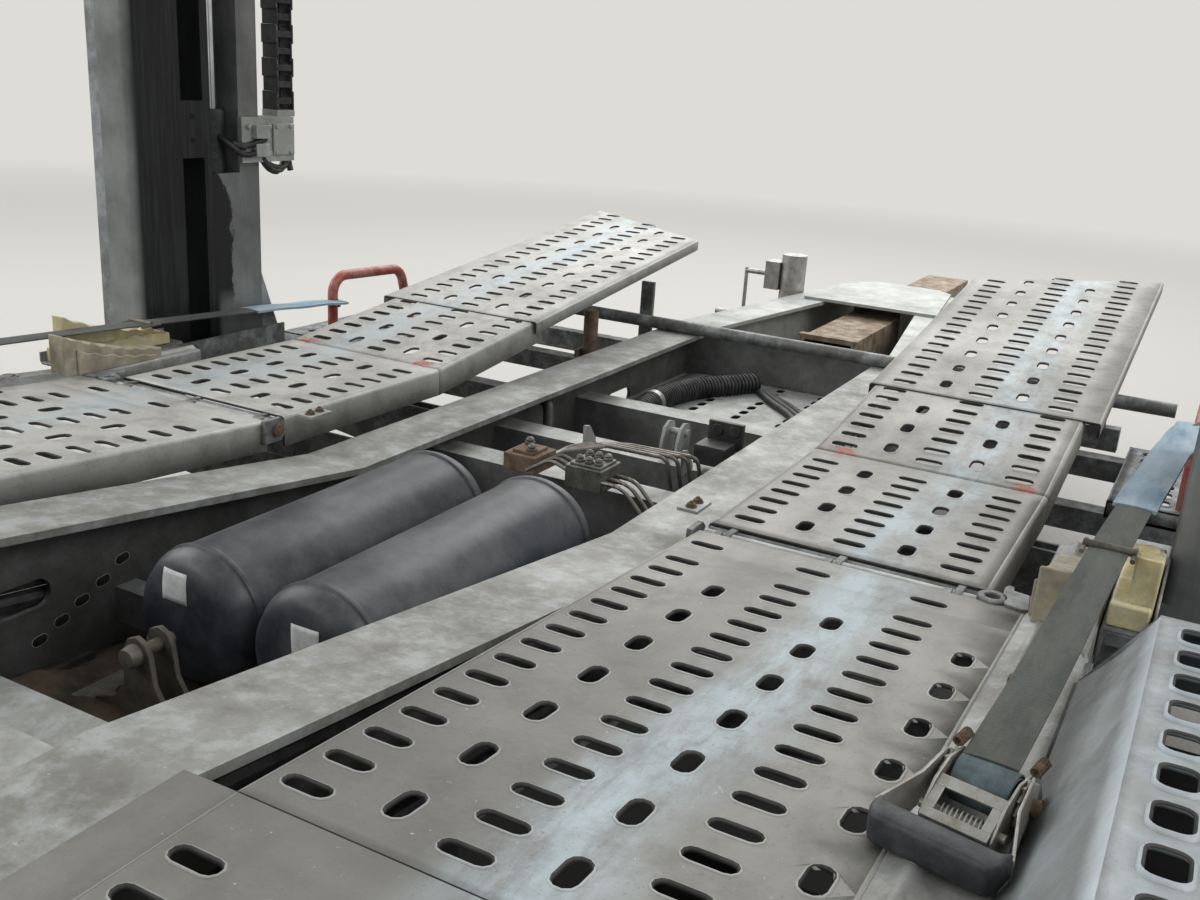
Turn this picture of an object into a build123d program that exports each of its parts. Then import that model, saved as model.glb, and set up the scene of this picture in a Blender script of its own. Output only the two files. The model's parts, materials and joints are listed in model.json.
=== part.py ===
from build123d import *
import os
from math import atan2, degrees, hypot, radians, sin, tan

os.makedirs("parts", exist_ok=True)

# Centre-axle trailer that carries cars on two decks.
# Frame: +X forward along the drawbar, +Y left, +Z up, ground at z = 0.
# The origin lies on the ground below the middle of the overall length.
# Names ending in _at are places measured forward from the hinge line of the front ramps.

# Overall sizes, mm
overall_length = 9500.0
overall_width = 2550.0
front_end = overall_length / 2
rear_end = -overall_length / 2
half_width = overall_width / 2

# Clearances
running_gap = 0.05
rest_gap = 0.3
slide_gap = 1.0
free_gap = 6.0

# The hinge line of the front ramps, from which the decks are measured
hinge_x = 900.0
hinge_z = 860.0

# Across the vehicle, from the side inwards: posts, sills, tracks, rails
post_setback = 175.0
post_clearance = 65.0
sill_width = 148.0
member_width = 60.0
track_width = 442.0
rail_inset = 113.0
post_inner = half_width - post_setback
sill_outer = post_inner - post_clearance
member_inner = sill_outer - member_width
track_outer = sill_outer - sill_width
track_inner = track_outer - track_width
rail_centre = track_inner - rail_inset

# Lower tracks
track_sheet = 5.0
track_lip = 60.0
deck_rise = 77.0
rise_end_at = -1000.0
hump_end_at = -2950.0
drop_end_at = -4350.0
deck_drop = 70.0
hinge_setback = 26.0
track_end_gap = 70.0

# Front ramps
ramp_kink_at = 530.0
ramp_dip = 4.0
ramp_slope = 6.7
ramp_reach_inner = 1908.0
ramp_reach_outer = 2130.0
ramp_cover_at = 930.0
cover_inner_lap = 8.0
cover_outer_lap = 29.0
cover_sheet = 5.0
cover_guide = 16.0
ramp_pin_radius = 12.0
ramp_pin_drop = 14.0
lug_radius = 20.0
lug_width = 12.0
lug_inset = 25.0
lug_rise = 8.0

# Main rails
rail_flange = 134.0
rail_web = 9.0
flange_sheet = 12.0
rail_depth = 250.0
rail_front_at = 1750.0
rail_drop = 69.0
rail_kink_at = 40.0
rail_below_hump = 5.0
rail_end_gap = 160.0
web_hole_length = 135.0
web_hole_height = 45.0
web_hole_places = [-660.0, -1650.0, -2250.0, 1210.0]

# Crossmembers: place, drop of the top below the rail's top, depth
cross_rows = [(1650.0, 0.0, 200.0), (964.0, 69.0, 150.0), (588.0, 57.0, 150.0), (325.0, 42.0, 130.0),
              (-870.0, 154.0, 95.0), (-1080.0, 30.0, 170.0), (-1780.0, 30.0, 170.0), (-2500.0, 30.0, 170.0),
              (-3250.0, 30.0, 150.0), (-4050.0, 30.0, 150.0), (-4900.0, 30.0, 150.0)]
cross_width = 75.0
cross_sheet = 7.0
floor_rear_at = 1045.0
floor_front_at = 1645.0
floor_drop = 205.0
floor_sheet = 4.0

# Side members and sills
member_sheet = 6.0
member_depth = 90.0
member_front_at = 660.0
sill_front_at = 330.0
sill_ramp_gap = 12.0

# Guards beside the tracks over the wheels
guard_front_at = -225.0
guard_rear_at = -3600.0
guard_height = 130.0
guard_lean = 72.0
guard_sheet = 4.0
guard_skirt = 70.0

# Wheels and axles
tyre_radius = 393.0
tyre_width = 240.0
tyre_shoulder = 14.0
rim_radius = 222.0
rim_sheet = 11.0
rim_width = 190.0
rim_hole_radius = 22.0
rim_hole_count = 8
twin_gap = 44.0
tyre_to_side = 12.0
axle_front_at = -1160.0
axle_spread = 1260.0
axle_radius = 63.5
axle_flange_inset = 715.0
spindle_radius = 45.0
spindle_inset = 110.0
drum_radius = 178.0
drum_width = 150.0
hub_radius = 120.0
hub_flange = 145.0

# Posts of the upper deck
post_width = 394.0
post_depth = 120.0
post_round = 18.0
post_front_at = 459.0
post_rear_at = -4250.0
post_height = 1750.0
post_foot_drop = 110.0
post_floor = 60.0
groove_offset = -15.0
groove_width = 66.0
groove_depth = 90.0
bay_offset = 86.0
bay_width = 90.0
bay_cover = 12.0
bay_cover_height = 480.0
bridge_low = 520.0
bridge_high = 650.0
post_flare = 65.0
post_flare_height = 230.0
foot_sheet = 20.0
carrier_sheet = 10.0
carrier_offset = 145.0

# Lift cylinders
barrel_radius = 32.5
barrel_bore = 26.0
barrel_floor = 20.0
rod_radius = 20.0
piston_gap = 10.0
gland_height = 40.0
front_barrel_length = 570.0
rear_barrel_length = 865.0
lift_down = 350.0
tilt_down = 3.0

# Carriages and the deck's pins
deck_pin_radius = 22.0
deck_pin_drop = 140.0
carriage_half = 190.0
carriage_face = 40.0
carriage_gap = 5.0
carriage_below = 110.0
carriage_above = 260.0
shelf_drop = 20.0
shelf_sheet = 30.0
ear_gap = 20.0
ear_width = 50.0
ear_half = 110.0
pin_slot = 30.0

# Upper deck
upper_rise = 1350.0
upper_front_at = 2260.0
upper_rear_at = -5250.0
upper_depth = 90.0
upper_ear_gap = 25.0
upper_track_width = 515.0
upper_guide = 16.0
upper_cross_half = 50.0
upper_cross_depth = 80.0
upper_cross_wall = 8.0

# Drawbar
nose_at = 2900.0
nose_inner = 90.0
bar_half = 85.0
bar_wall = 8.0
bar_rear_at = 2000.0
bar_drop = 40.0
plate_sheet = 10.0
head_length = 350.0
head_overhang = 60.0
eye_radius = 25.0
eye_outer = 62.0
eye_height = 60.0
eye_shank = 88.0
eye_shank_radius = 27.0
eye_plate = 30.0

# Jack
jack_at = 2560.0
jack_bore = 36.0
jack_wall = 9.0
jack_beam_gap = 9.0
jack_top_rise = 60.0
jack_tube_low = 330.0
jack_lift = 280.0
jack_foot_radius = 110.0
jack_foot_sheet = 14.0

# Air tanks
tank_radius = 103.0
tank_length = 610.0
tank_dome = 48.0
tank_at = -280.0
tank_left = 64.0
tank_right = -147.0
tank_drop = 86.0
cradle_half = 180.0

# Steps, hoops, chocks and straps beside the front posts
step_rear_at = 890.0
step_front_at = 1345.0
step_inset = 75.0
step_outset = 20.0
step_drop = 100.0
step_sheet = 4.0
step_fold = 30.0
hoop_rear_at = 930.0
hoop_front_at = 1282.0
hoop_height = 172.0
hoop_radius = 14.0
hoop_bend = 50.0
chock_rear_at = 0.0
chock_length = 300.0
strap_width = 52.0
strap_sheet = 3.0
ratchet_at = -590.0

# Rear of the frame
beam_depth = 120.0
beam_length = 100.0
beam_inset = 40.0
bumper_low = 400.0
bumper_high = 500.0
bumper_inset = 60.0
stay_y = 470.0

# Loading ramps in their runners
slide_ramp_length = 1800.0
slide_ramp_z = 545.0
slide_ramp_half = 170.0
slide_ramp_side = 28.0
slide_ramp_height = 60.0
slide_ramp_inset = 197.0
rung_pitch = 150.0
rung_width = 40.0
rung_height = 30.0
runner_length = 1500.0
runner_sheet = 5.0

# Places that the sizes give
rise_end = hinge_x + rise_end_at
hump_end = hinge_x + hump_end_at
drop_end = hinge_x + drop_end_at
track_rear = rear_end + track_end_gap
track_front = hinge_x - hinge_setback
rail_front = hinge_x + rail_front_at
rail_rear = rear_end + rail_end_gap
rail_inner_face = rail_centre - rail_web / 2
rail_outer_face = rail_centre + rail_web / 2
beam_inner = rail_centre - rail_flange / 2
beam_outer = rail_centre + rail_flange / 2
post_front_x = hinge_x + post_front_at
post_rear_x = hinge_x + post_rear_at
post_spacing = post_front_x - post_rear_x
post_foot = hinge_z - post_foot_drop
post_base = post_foot + post_floor
post_top = post_foot + post_height
post_outer = post_inner + post_depth
axle_places = [hinge_x + axle_front_at, hinge_x + axle_front_at - axle_spread]
upper_top = hinge_z + upper_rise
upper_front = hinge_x + upper_front_at
upper_rear = hinge_x + upper_rear_at
nose_x = hinge_x + nose_at


def block(x0, x1, y0, y1, z0, z1):
    """A box between two corners."""
    size = (abs(x1 - x0), abs(y1 - y0), abs(z1 - z0))
    return Pos((x0 + x1) / 2, (y0 + y1) / 2, (z0 + z1) / 2) * Box(*size)


def side_shape(points, y0, y1):
    """An outline in X and Z, given thickness across the vehicle."""
    face = make_face(Polyline([(x, z) for x, z in points], close=True))
    body = extrude(Plane.XZ * face, amount=-abs(y1 - y0))
    return Pos(0, min(y0, y1), 0) * body


def strip(line, thickness, y0, y1):
    """A sheet that follows a line in X and Z, with its top on the line."""
    lower = [(x, z - thickness) for x, z in reversed(line)]
    return side_shape(list(line) + lower, y0, y1)


def section_run(points, x0, x1):
    """An outline in Y and Z, run along the vehicle."""
    face = make_face(Polyline([(y, z) for y, z in points], close=True))
    return Pos(min(x0, x1), 0, 0) * extrude(Plane.YZ * face, amount=abs(x1 - x0))


def plan_shape(points, z0, z1):
    """An outline in X and Y, given a height."""
    face = make_face(Polyline([(x, y) for x, y in points], close=True))
    return Pos(0, 0, min(z0, z1)) * extrude(face, amount=abs(z1 - z0))


def bar(axis, radius, place, length):
    """A round bar centred on a place, along X, Y or Z."""
    turn = {"x": Rot(0, 90, 0), "y": Rot(90, 0, 0), "z": Rot(0, 0, 0)}[axis]
    return Pos(*place) * turn * Cylinder(radius, length)


def ribbon(near, far, width, thickness):
    """A flat band from one place to another, level across the vehicle."""
    ends = []
    for x, y, z in (near, far):
        corners = [(x, y - width / 2, z), (x, y + width / 2, z), (x, y + width / 2, z + thickness),
                   (x, y - width / 2, z + thickness)]
        ends.append(Wire(Polyline([Vector(*p) for p in corners], close=True).edges()))
    return Solid.make_loft(ends, ruled=True)


def pipe(points, radius, bend):
    """A round bar bent through several places."""
    path = FilletPolyline(*points, radius=bend)
    return sweep(Plane(path @ 0, z_dir=path % 0) * Circle(radius), path)


def mirrored(shape):
    return mirror(shape, about=Plane.XZ)


def both(*shapes):
    """The pieces and their mirror images on the other side."""
    return [piece for shape in shapes for piece in (shape, mirrored(shape))]


def on_side(shape, side):
    """The piece as it is on the left, or mirrored for the right."""
    return shape if side > 0 else mirrored(shape)


def save(name, *shapes):
    """One file for one named piece."""
    solids = []
    for shape in shapes:
        solids.extend(shape if isinstance(shape, list) else [shape])
    whole = solids[0] if len(solids) == 1 else Compound(children=solids)
    whole.label = name
    export_step(whole, f"parts/{name}.step")


def height_on(line, x):
    """The height of a line in X and Z at one place, level beyond its ends."""
    ordered = sorted(line)
    if x <= ordered[0][0]:
        return ordered[0][1]
    for (xa, za), (xb, zb) in zip(ordered, ordered[1:]):
        if x <= xb:
            return za + (zb - za) * (x - xa) / (xb - xa)
    return ordered[-1][1]


# Lines that the decks and rails follow, from front to rear
hump_z = hinge_z + deck_rise
low_z = hinge_z - deck_drop
deck_line = [
    (track_front, hinge_z + deck_rise * hinge_setback / -rise_end_at),
    (rise_end, hump_z),
    (hump_end, hump_z),
    (drop_end, low_z),
    (track_rear, low_z),
]
rail_line = [
    (rail_front, hinge_z - rail_drop),
    (hinge_x + rail_kink_at, hinge_z - rail_drop),
    (rise_end, hump_z - rail_below_hump),
    (hump_end, hump_z - rail_below_hump),
    (drop_end, low_z - rail_below_hump),
    (rail_rear, low_z - rail_below_hump),
]
ramp_rise = (ramp_reach_outer - ramp_kink_at) * tan(radians(ramp_slope))
ramp_line = [
    (hinge_x + hinge_setback, hinge_z),
    (hinge_x + ramp_kink_at, hinge_z - ramp_dip),
    (hinge_x + ramp_reach_outer, hinge_z - ramp_dip + ramp_rise),
]


def rail_height(x):
    return height_on(rail_line, x)


# Main rails: an I section that follows the deck's hump
def rail():
    web_line = [(x, z - flange_sheet) for x, z in rail_line]
    beam = strip(web_line, rail_depth - 2 * flange_sheet, rail_inner_face, rail_outer_face)
    beam += strip(rail_line, flange_sheet, beam_inner, beam_outer)
    low_line = [(x, z - rail_depth + flange_sheet) for x, z in rail_line]
    beam += strip(low_line, flange_sheet, beam_inner, beam_outer)
    slot = extrude(SlotOverall(web_hole_length, web_hole_height), 4 * rail_web, both=True)
    for place in web_hole_places:
        x = hinge_x + place
        beam -= Pos(x, rail_centre, rail_height(x) - rail_depth / 2) * Rot(90, 0, 0) * slot
    return beam


main_rail = rail()
both_rails = main_rail + mirrored(main_rail)
save("main_rails", both(main_rail))


# Crossmembers of C section between the rails, and the floor plate below the hoses
def crossmember(place, drop, depth):
    x = hinge_x + place
    top = rail_height(x) - max(drop, flange_sheet)
    reach = rail_inner_face
    shape = block(x, x + cross_sheet, -reach, reach, top - depth, top)
    shape += block(x, x + cross_width, -reach, reach, top - cross_sheet, top)
    shape += block(x, x + cross_width, -reach, reach, top - depth, top - depth + cross_sheet)
    return shape - both_rails


floor_z = hinge_z - floor_drop
floor_plate = block(hinge_x + floor_rear_at, hinge_x + floor_front_at, -rail_inner_face, rail_inner_face,
                    floor_z - floor_sheet, floor_z)
crossmembers = [crossmember(*row) for row in cross_rows] + [floor_plate]


# Fixed lower tracks
def lug_places(shift):
    span = track_width - 2 * lug_inset - 3 * lug_width
    return [track_inner + lug_inset + shift + span * k / 2 for k in range(3)]


pin_z = hinge_z - ramp_pin_drop


def lug(y, direction):
    """A plate with a round end about the ramp's pin; direction is +1 on the ramp, -1 on the track."""
    middle = (hinge_x, y + lug_width / 2, pin_z)
    ring = bar("y", lug_radius, middle, lug_width)
    reach = hinge_x + direction * (hinge_setback + 1.0)
    arm = block(hinge_x, reach, y, y + lug_width, pin_z - lug_radius, pin_z + lug_rise)
    bore = ramp_pin_radius + (running_gap if direction > 0 else 0.0)
    return ring + arm - bar("y", bore, middle, 4 * lug_width)


def lower_track(side):
    body = strip(deck_line, track_sheet, track_inner, track_outer)
    body += strip(deck_line, track_lip, track_inner, track_inner + track_sheet)
    body += strip(deck_line, track_lip, track_outer - track_sheet, track_outer)
    z = deck_line[0][1]
    body += block(track_front - track_sheet, track_front, track_inner, track_outer, z - track_lip, z)
    for y in lug_places(0.0):
        body += lug(y, -1)
    return on_side(body, side)


save("lower_tracks", [lower_track(1), lower_track(-1)])
pin_middle = (hinge_x, (track_inner + track_outer) / 2, pin_z)
save("ramp_pins", both(bar("y", ramp_pin_radius, pin_middle, track_width - 2 * track_sheet)))

# Front ramps: a bent track with a wider cover sheet and guide lips on its front part
cover_inner = track_inner - cover_inner_lap
cover_outer = track_outer + cover_outer_lap


def ramp(side):
    body = strip(ramp_line, track_sheet, track_inner, track_outer)
    body += strip(ramp_line, track_lip, track_inner, track_inner + track_sheet)
    body += strip(ramp_line, track_lip, track_outer - track_sheet, track_outer)
    start = hinge_x + ramp_cover_at
    cover_line = [(start, height_on(ramp_line, start) + cover_sheet),
                  (ramp_line[-1][0], ramp_line[-1][1] + cover_sheet)]
    body += strip(cover_line, cover_sheet, cover_inner, cover_outer)
    raised = [(x, z + cover_guide) for x, z in cover_line]
    for y0 in (cover_inner, cover_outer - track_sheet):
        body += strip(raised, cover_guide + track_lip, y0, y0 + track_sheet)
    far = hinge_x + 2 * ramp_reach_outer
    body -= plan_shape([(hinge_x + ramp_reach_inner, 0.0), (far, 0.0), (far, cover_outer),
                        (hinge_x + ramp_reach_outer, cover_outer), (hinge_x + ramp_reach_inner, cover_inner)],
                       0.0, 2 * hinge_z)
    back = ramp_line[0][0]
    body += block(back, back + track_sheet, track_inner, track_outer, hinge_z - track_lip, hinge_z)
    for y in lug_places(lug_width + 1.0):
        body += lug(y, 1)
    return on_side(body, side)


save("front_ramp_left", ramp(1))
save("front_ramp_right", ramp(-1))

# Side members below the outer edge of the tracks, and the flat sills on top
sill_line = [(hinge_x + member_front_at, hinge_z), (hinge_x, hinge_z)] + deck_line[1:4] + [(rail_rear, low_z)]


def side_member():
    line = [(x, z - track_sheet) for x, z in sill_line]
    outer = strip(line, member_depth, sill_outer - member_sheet, sill_outer)
    return outer + strip([(x, z - member_depth + member_sheet) for x, z in line], member_sheet,
                         member_inner, sill_outer)


member = side_member()
save("side_members", both(member))
sill = strip(sill_line[1:], track_sheet, track_outer, sill_outer)
sill += block(hinge_x, hinge_x + sill_front_at, cover_outer + sill_ramp_gap, sill_outer,
              hinge_z - track_sheet, hinge_z)

# Outriggers carry the tracks, the side members and the steps; heavier pairs carry the posts
outrigger_places = [640.0, 130.0, -330.0, -1790.0, -3150.0, -3800.0, -4750.0]
outrigger_sheet = 8.0
outrigger_tip = 70.0
outrigger_root = 150.0
ramp_room = 130.0


def outrigger(place):
    x = hinge_x + place
    if x > track_front - outrigger_sheet:
        deck = hinge_z - ramp_room
    else:
        deck = min(height_on(deck_line, x), height_on(deck_line, x + outrigger_sheet)) - track_lip
    top = min(deck, rail_height(x) - flange_sheet)
    points = [(rail_outer_face, top), (sill_outer, top), (sill_outer, top - outrigger_tip),
              (rail_outer_face, top - outrigger_root)]
    return section_run(points, x, x + outrigger_sheet) - member - main_rail


def carrier(x, offset):
    """One of the two plates that hold a post's foot."""
    top = post_foot - foot_sheet
    low = min(top - 110.0, rail_height(x) - rail_depth + foot_sheet)
    tip = post_outer
    points = [(rail_outer_face, top), (tip, top), (tip, top - 50.0), (rail_outer_face, low)]
    middle = x + offset
    return section_run(points, middle - carrier_sheet / 2, middle + carrier_sheet / 2) - member - main_rail


step_rear = hinge_x + step_rear_at
step_front = hinge_x + step_front_at
step_inner = sill_outer - step_inset
step_outer = half_width - step_outset
step_top = hinge_z - step_drop
step_beam = 50.0


def step_bearer(x):
    """A tube that carries the step from the rail."""
    top = step_top - step_fold
    return block(x, x + step_beam, rail_outer_face, step_outer, top - step_beam, top) - main_rail


carriers = [carrier(x, s * carrier_offset) for x in (post_front_x, post_rear_x) for s in (-1, 1)]
bearers = [step_bearer(step_rear), step_bearer(step_front - step_beam)]
outriggers = both(*[outrigger(place) for place in outrigger_places], *carriers, *bearers)

# Supports that the front ramps rest on, with a round bar across the frame
support_at = 1600.0
support_leg = 40.0
support_bar = 18.0
support_x = hinge_x + support_at
support_low = hinge_z - ramp_room
leg_top = height_on(ramp_line, support_x) - track_lip - rest_gap
bar_z = hinge_z - rail_drop + support_bar


def support():
    arm = block(support_x, support_x + support_leg, rail_outer_face, cover_outer, support_low - 60.0, support_low)
    for y in (track_inner + 12.0, track_outer - 28.0):
        arm += block(support_x + 8.0, support_x + 22.0, y - 20.0, y + 20.0, support_low, leg_top)
    return arm - main_rail


cross_bar = bar("y", support_bar, (support_x - support_bar, 0, bar_z), 2 * sill_outer)
save("outriggers", outriggers, both(support()), cross_bar)

# Raised guards beside the tracks, over the wheels
guard_front = hinge_x + guard_front_at
guard_rear = hinge_x + guard_rear_at
guard_line = [(guard_front, height_on(deck_line, guard_front))] + deck_line[1:3] + \
             [(guard_rear, height_on(deck_line, guard_rear))]
guard_top_inner = sill_outer + guard_lean


def guard_ring(x, z, lean):
    """The bent sheet's section: a slanted face, a flat top and a skirt; its plane leans back by lean."""
    top = z + guard_height
    low = top - guard_skirt
    inside = half_width - guard_sheet
    points = [(sill_outer, z), (guard_top_inner, top), (half_width, top), (half_width, low), (inside, low),
              (inside, top - guard_sheet), (guard_top_inner + guard_sheet / 2, top - guard_sheet),
              (sill_outer + guard_sheet, z)]
    return [(x - lean * (height - z) / guard_height, y, height) for y, height in points]


def guard():
    whole = None
    for (xa, za), (xb, zb) in zip(guard_line, guard_line[1:]):
        lean = guard_lean if xa == guard_front else 0.0
        ends = [Wire(Polyline([Vector(*p) for p in ring], close=True).edges())
                for ring in (guard_ring(xb, zb, 0.0), guard_ring(xa, za, lean))]
        piece = Solid.make_loft(ends, ruled=True)
        whole = piece if whole is None else whole + piece
    return whole


save("wheel_guards", both(guard()))


# Posts: a back column on a foot, and guide bars that leave a groove and a bay for the cylinder
def post_back(x):
    left = x - post_width / 2
    right = x + post_width / 2
    body = block(left, right, post_inner + groove_depth, post_outer, post_foot, post_top)
    flare = side_shape([(right, post_foot), (right + post_flare, post_foot),
                        (right + post_flare, post_foot + 60.0), (right, post_foot + post_flare_height)],
                       post_inner + 2.0, post_outer)
    foot = block(left - foot_sheet, right + post_flare, sill_outer, post_outer + foot_sheet, post_foot - foot_sheet, post_foot)
    return body + flare + foot


def post_guides(x, bridge):
    """The three bars of one post, its solid base, the bay's cover and the bridge over the groove."""
    y0 = post_inner
    y1 = post_inner + groove_depth
    left = x - post_width / 2
    right = x + post_width / 2
    groove_left = x + groove_offset - groove_width / 2
    groove_right = groove_left + groove_width
    bay_left = x + bay_offset - bay_width / 2
    bay_right = bay_left + bay_width
    bars = [block(a, b, y0, y1, post_base, post_top)
            for a, b in ((left, groove_left), (groove_right, bay_left), (bay_right, right))]
    corner = bars[0].edges().filter_by(Axis.Z).sort_by(lambda edge: edge.center().X + edge.center().Y)[0]
    bars[0] = fillet(corner, post_round)
    bars.append(block(left, right, y0, y1, post_foot, post_base))
    bars.append(block(bay_left, bay_right, y0, y0 + bay_cover, post_base, post_foot + bay_cover_height))
    if bridge:
        bars.append(block(groove_left, groove_right, y0, y0 + bay_cover, post_foot + bridge_low,
                          post_foot + bridge_high))
    return bars


bay_y = post_inner + bay_cover + (groove_depth - bay_cover) / 2


def barrel(x, length):
    place = (x + bay_offset, bay_y)
    top = post_base + length
    tube = bar("z", barrel_radius, (*place, post_base + length / 2), length)
    tube += bar("z", barrel_radius + 3.0, (*place, top - gland_height / 2), gland_height)
    tube -= bar("z", barrel_bore, (*place, (post_base + barrel_floor + top - gland_height) / 2),
                length - barrel_floor - gland_height)
    return tube - bar("z", rod_radius + slide_gap / 2, (*place, top), 4 * gland_height)


save("posts", both(post_back(post_front_x), post_back(post_rear_x)))
save("post_guides", both(*post_guides(post_front_x, True), *post_guides(post_rear_x, False)))
save("lift_barrels", both(barrel(post_front_x, front_barrel_length), barrel(post_rear_x, rear_barrel_length)))

# Bracket for the hoses on the front posts, and the left post's cable chain
bracket_inset = 70.0
bracket_reach = 112.0
bracket_low = 394.0
bracket_high = 502.0
chain_low = 518.0
chain_length = 1040.0
chain_width = 64.0
chain_depth = 50.0
chain_gap = 68.0
post_edge = post_front_x + post_width / 2
bracket = block(post_edge - bracket_inset, post_edge + bracket_reach, post_inner - 14.0, post_inner,
                hinge_z + bracket_low, hinge_z + bracket_high)
bracket += block(post_edge + 20.0, post_edge + bracket_reach, post_inner, post_inner + chain_depth,
                 hinge_z + bracket_high - 12.0, hinge_z + bracket_high)
chain_x = post_edge + chain_gap
chain = block(chain_x, chain_x + chain_width, post_inner, post_inner + chain_depth, hinge_z + chain_low,
              hinge_z + chain_low + chain_length)
chain_stand = block(chain_x, chain_x + chain_width, post_inner, post_inner + chain_depth,
                    hinge_z + bracket_high, hinge_z + chain_low)
chain_top = hinge_z + chain_low + chain_length
chain_arm = block(post_edge, chain_x + chain_width, post_inner, post_inner + chain_depth, chain_top, chain_top + 8.0)
save("hose_brackets", both(bracket) + [chain_stand, chain_arm])
save("cable_chain", chain)

# Carriages ride in the posts and carry the upper deck on pins
deck_pin_z = upper_top - deck_pin_drop
carriage_low = deck_pin_z - carriage_below
carriage_high = deck_pin_z + carriage_above
carriage_outer = post_inner - carriage_gap
carriage_inner = carriage_outer - carriage_face
ear_outer = carriage_inner - ear_gap
ear_inner = ear_outer - ear_width
shelf_top = carriage_high - shelf_drop
shelf_low = shelf_top - shelf_sheet
corner = 60.0
shoulder = 120.0


def carriage(x):
    left = x - carriage_half
    right = x + carriage_half
    face = side_shape([(left, carriage_low + corner), (left + corner, carriage_low), (right, carriage_low),
                       (right, carriage_high), (x - corner, carriage_high), (left, carriage_high - shoulder)],
                      carriage_inner, carriage_outer)
    groove_left = x + groove_offset - groove_width / 2
    tongue = block(groove_left + slide_gap, groove_left + groove_width - slide_gap, carriage_outer,
                   post_inner + groove_depth - free_gap, carriage_low + 20.0, shelf_top)
    bay_left = x + bay_offset - bay_width / 2
    shelf = block(bay_left + free_gap, bay_left + bay_width - free_gap, carriage_outer,
                  post_inner + groove_depth - free_gap, shelf_low, shelf_top)
    pin_from = ear_inner + 1.0
    pin = bar("y", deck_pin_radius, (x, (pin_from + carriage_inner) / 2, deck_pin_z), carriage_inner - pin_from)
    boss = bar("y", deck_pin_radius + 18.0, (x, carriage_inner - 8.0, deck_pin_z), 16.0)
    return face + tongue + shelf + pin + boss


def lift_rod(x, travel_down):
    low = post_base + barrel_floor + piston_gap + travel_down
    return bar("z", rod_radius, (x + bay_offset, bay_y, (shelf_low + low) / 2), shelf_low - low)


rear_travel_down = lift_down + post_spacing * sin(radians(tilt_down))
save("front_carriages", both(carriage(post_front_x)))
save("rear_carriages", both(carriage(post_rear_x)))
save("front_lift_rods", both(lift_rod(post_front_x, lift_down)))
save("rear_lift_rods", both(lift_rod(post_rear_x, rear_travel_down)))

# Upper deck
upper_outer = ear_inner - upper_ear_gap
upper_inner = upper_outer - upper_track_width


def upper_track(side):
    line = [(upper_front, upper_top), (upper_rear, upper_top)]
    raised = [(x, z + upper_guide) for x, z in line]
    body = strip(line, track_sheet, upper_inner, upper_outer)
    for y0 in (upper_inner, upper_outer - track_sheet):
        body += strip(raised, upper_guide + upper_depth, y0, y0 + track_sheet)
    for x in (upper_front - track_sheet, upper_rear):
        body += block(x, x + track_sheet, upper_inner, upper_outer, upper_top - upper_depth, upper_top)
    return on_side(body, side)


save("upper_tracks", [upper_track(1), upper_track(-1)])
end_cross = 120.0
upper_cross_places = [upper_front - end_cross, post_front_x, hinge_x - 1200.0, hinge_x - 2700.0,
                      post_rear_x, upper_rear + end_cross]


def upper_cross(x):
    wide = ear_inner if x in (post_front_x, post_rear_x) else upper_outer
    z1 = upper_top - upper_depth
    z0 = z1 - upper_cross_depth
    wall = upper_cross_wall
    half = upper_cross_half
    tube = block(x - half, x + half, -wide, wide, z0, z1)
    return tube - block(x - half + wall, x + half - wall, -wide + wall, wide - wall, z0 + wall, z1 - wall)


def ear(x, slot):
    """The plate on the deck that a carriage's pin carries; the rear one has a slot for the tilt."""
    high = deck_pin_z + 50.0
    low = deck_pin_z - 60.0
    plate = side_shape([(x - ear_half, high), (x - ear_half, deck_pin_z), (x - 50.0, low), (x + 50.0, low),
                        (x + ear_half, deck_pin_z), (x + ear_half, high)], ear_inner, ear_outer)
    loose = 2 * (deck_pin_radius + slide_gap)
    hole = SlotOverall(loose + 2 * pin_slot, loose) if slot else Circle(deck_pin_radius + running_gap)
    cut = extrude(Plane.XZ * hole, amount=2 * ear_width, both=True)
    plate -= Pos(x, ear_outer, deck_pin_z) * cut
    if not slot:
        return [plate]
    parts = []
    for a, b in ((-ear_half, -pin_slot), (-pin_slot, pin_slot), (pin_slot, ear_half)):
        parts.extend((plate & block(x + a, x + b, ear_inner, ear_outer, low, high)).solids())
    return parts


save("upper_crossbeams", [upper_cross(x) for x in upper_cross_places])
save("deck_ears", both(*ear(post_front_x, False), *ear(post_rear_x, True)))

# Axles, arms and springs
arm_reach = 500.0
arm_half = 50.0
arm_plate = 10.0
spring_back = 290.0
spring_radius = 130.0
piston_radius = 88.0
piston_height = 44.0
damper_y = rail_centre - 100.0
damper_lean = 240.0
axle_beam_half = half_width - axle_flange_inset


def axle(x):
    z = tyre_radius
    beam = bar("y", axle_radius, (x, 0, z), 2 * axle_beam_half)
    beam += bar("y", spindle_radius, (x, 0, z), 2 * (half_width - spindle_inset))
    seat = block(x - 70.0, x + 70.0, rail_centre - 60.0, rail_centre + 60.0, z - 70.0, z + axle_radius + 2.0)
    tab = block(x + 30.0, x + 110.0, damper_y + 24.0, damper_y + 34.0, z - 20.0, z + 55.0)
    flange = bar("y", hub_radius, (x, axle_beam_half - 6.0, z), 12.0)
    for piece in both(seat, tab, flange):
        beam += piece
    return beam


def arm(x):
    z = tyre_radius + axle_radius + 15.0
    tip = x + arm_reach + 40.0
    points = [(tip, z + 75.0), (x + 100.0, z + 35.0), (x - 360.0, z - 20.0), (x - 360.0, z - 60.0),
              (x - 80.0, z - 15.0), (x + 100.0, z - 15.0), (tip, z + 15.0)]
    return side_shape(points, rail_centre - arm_half, rail_centre + arm_half)


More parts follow.
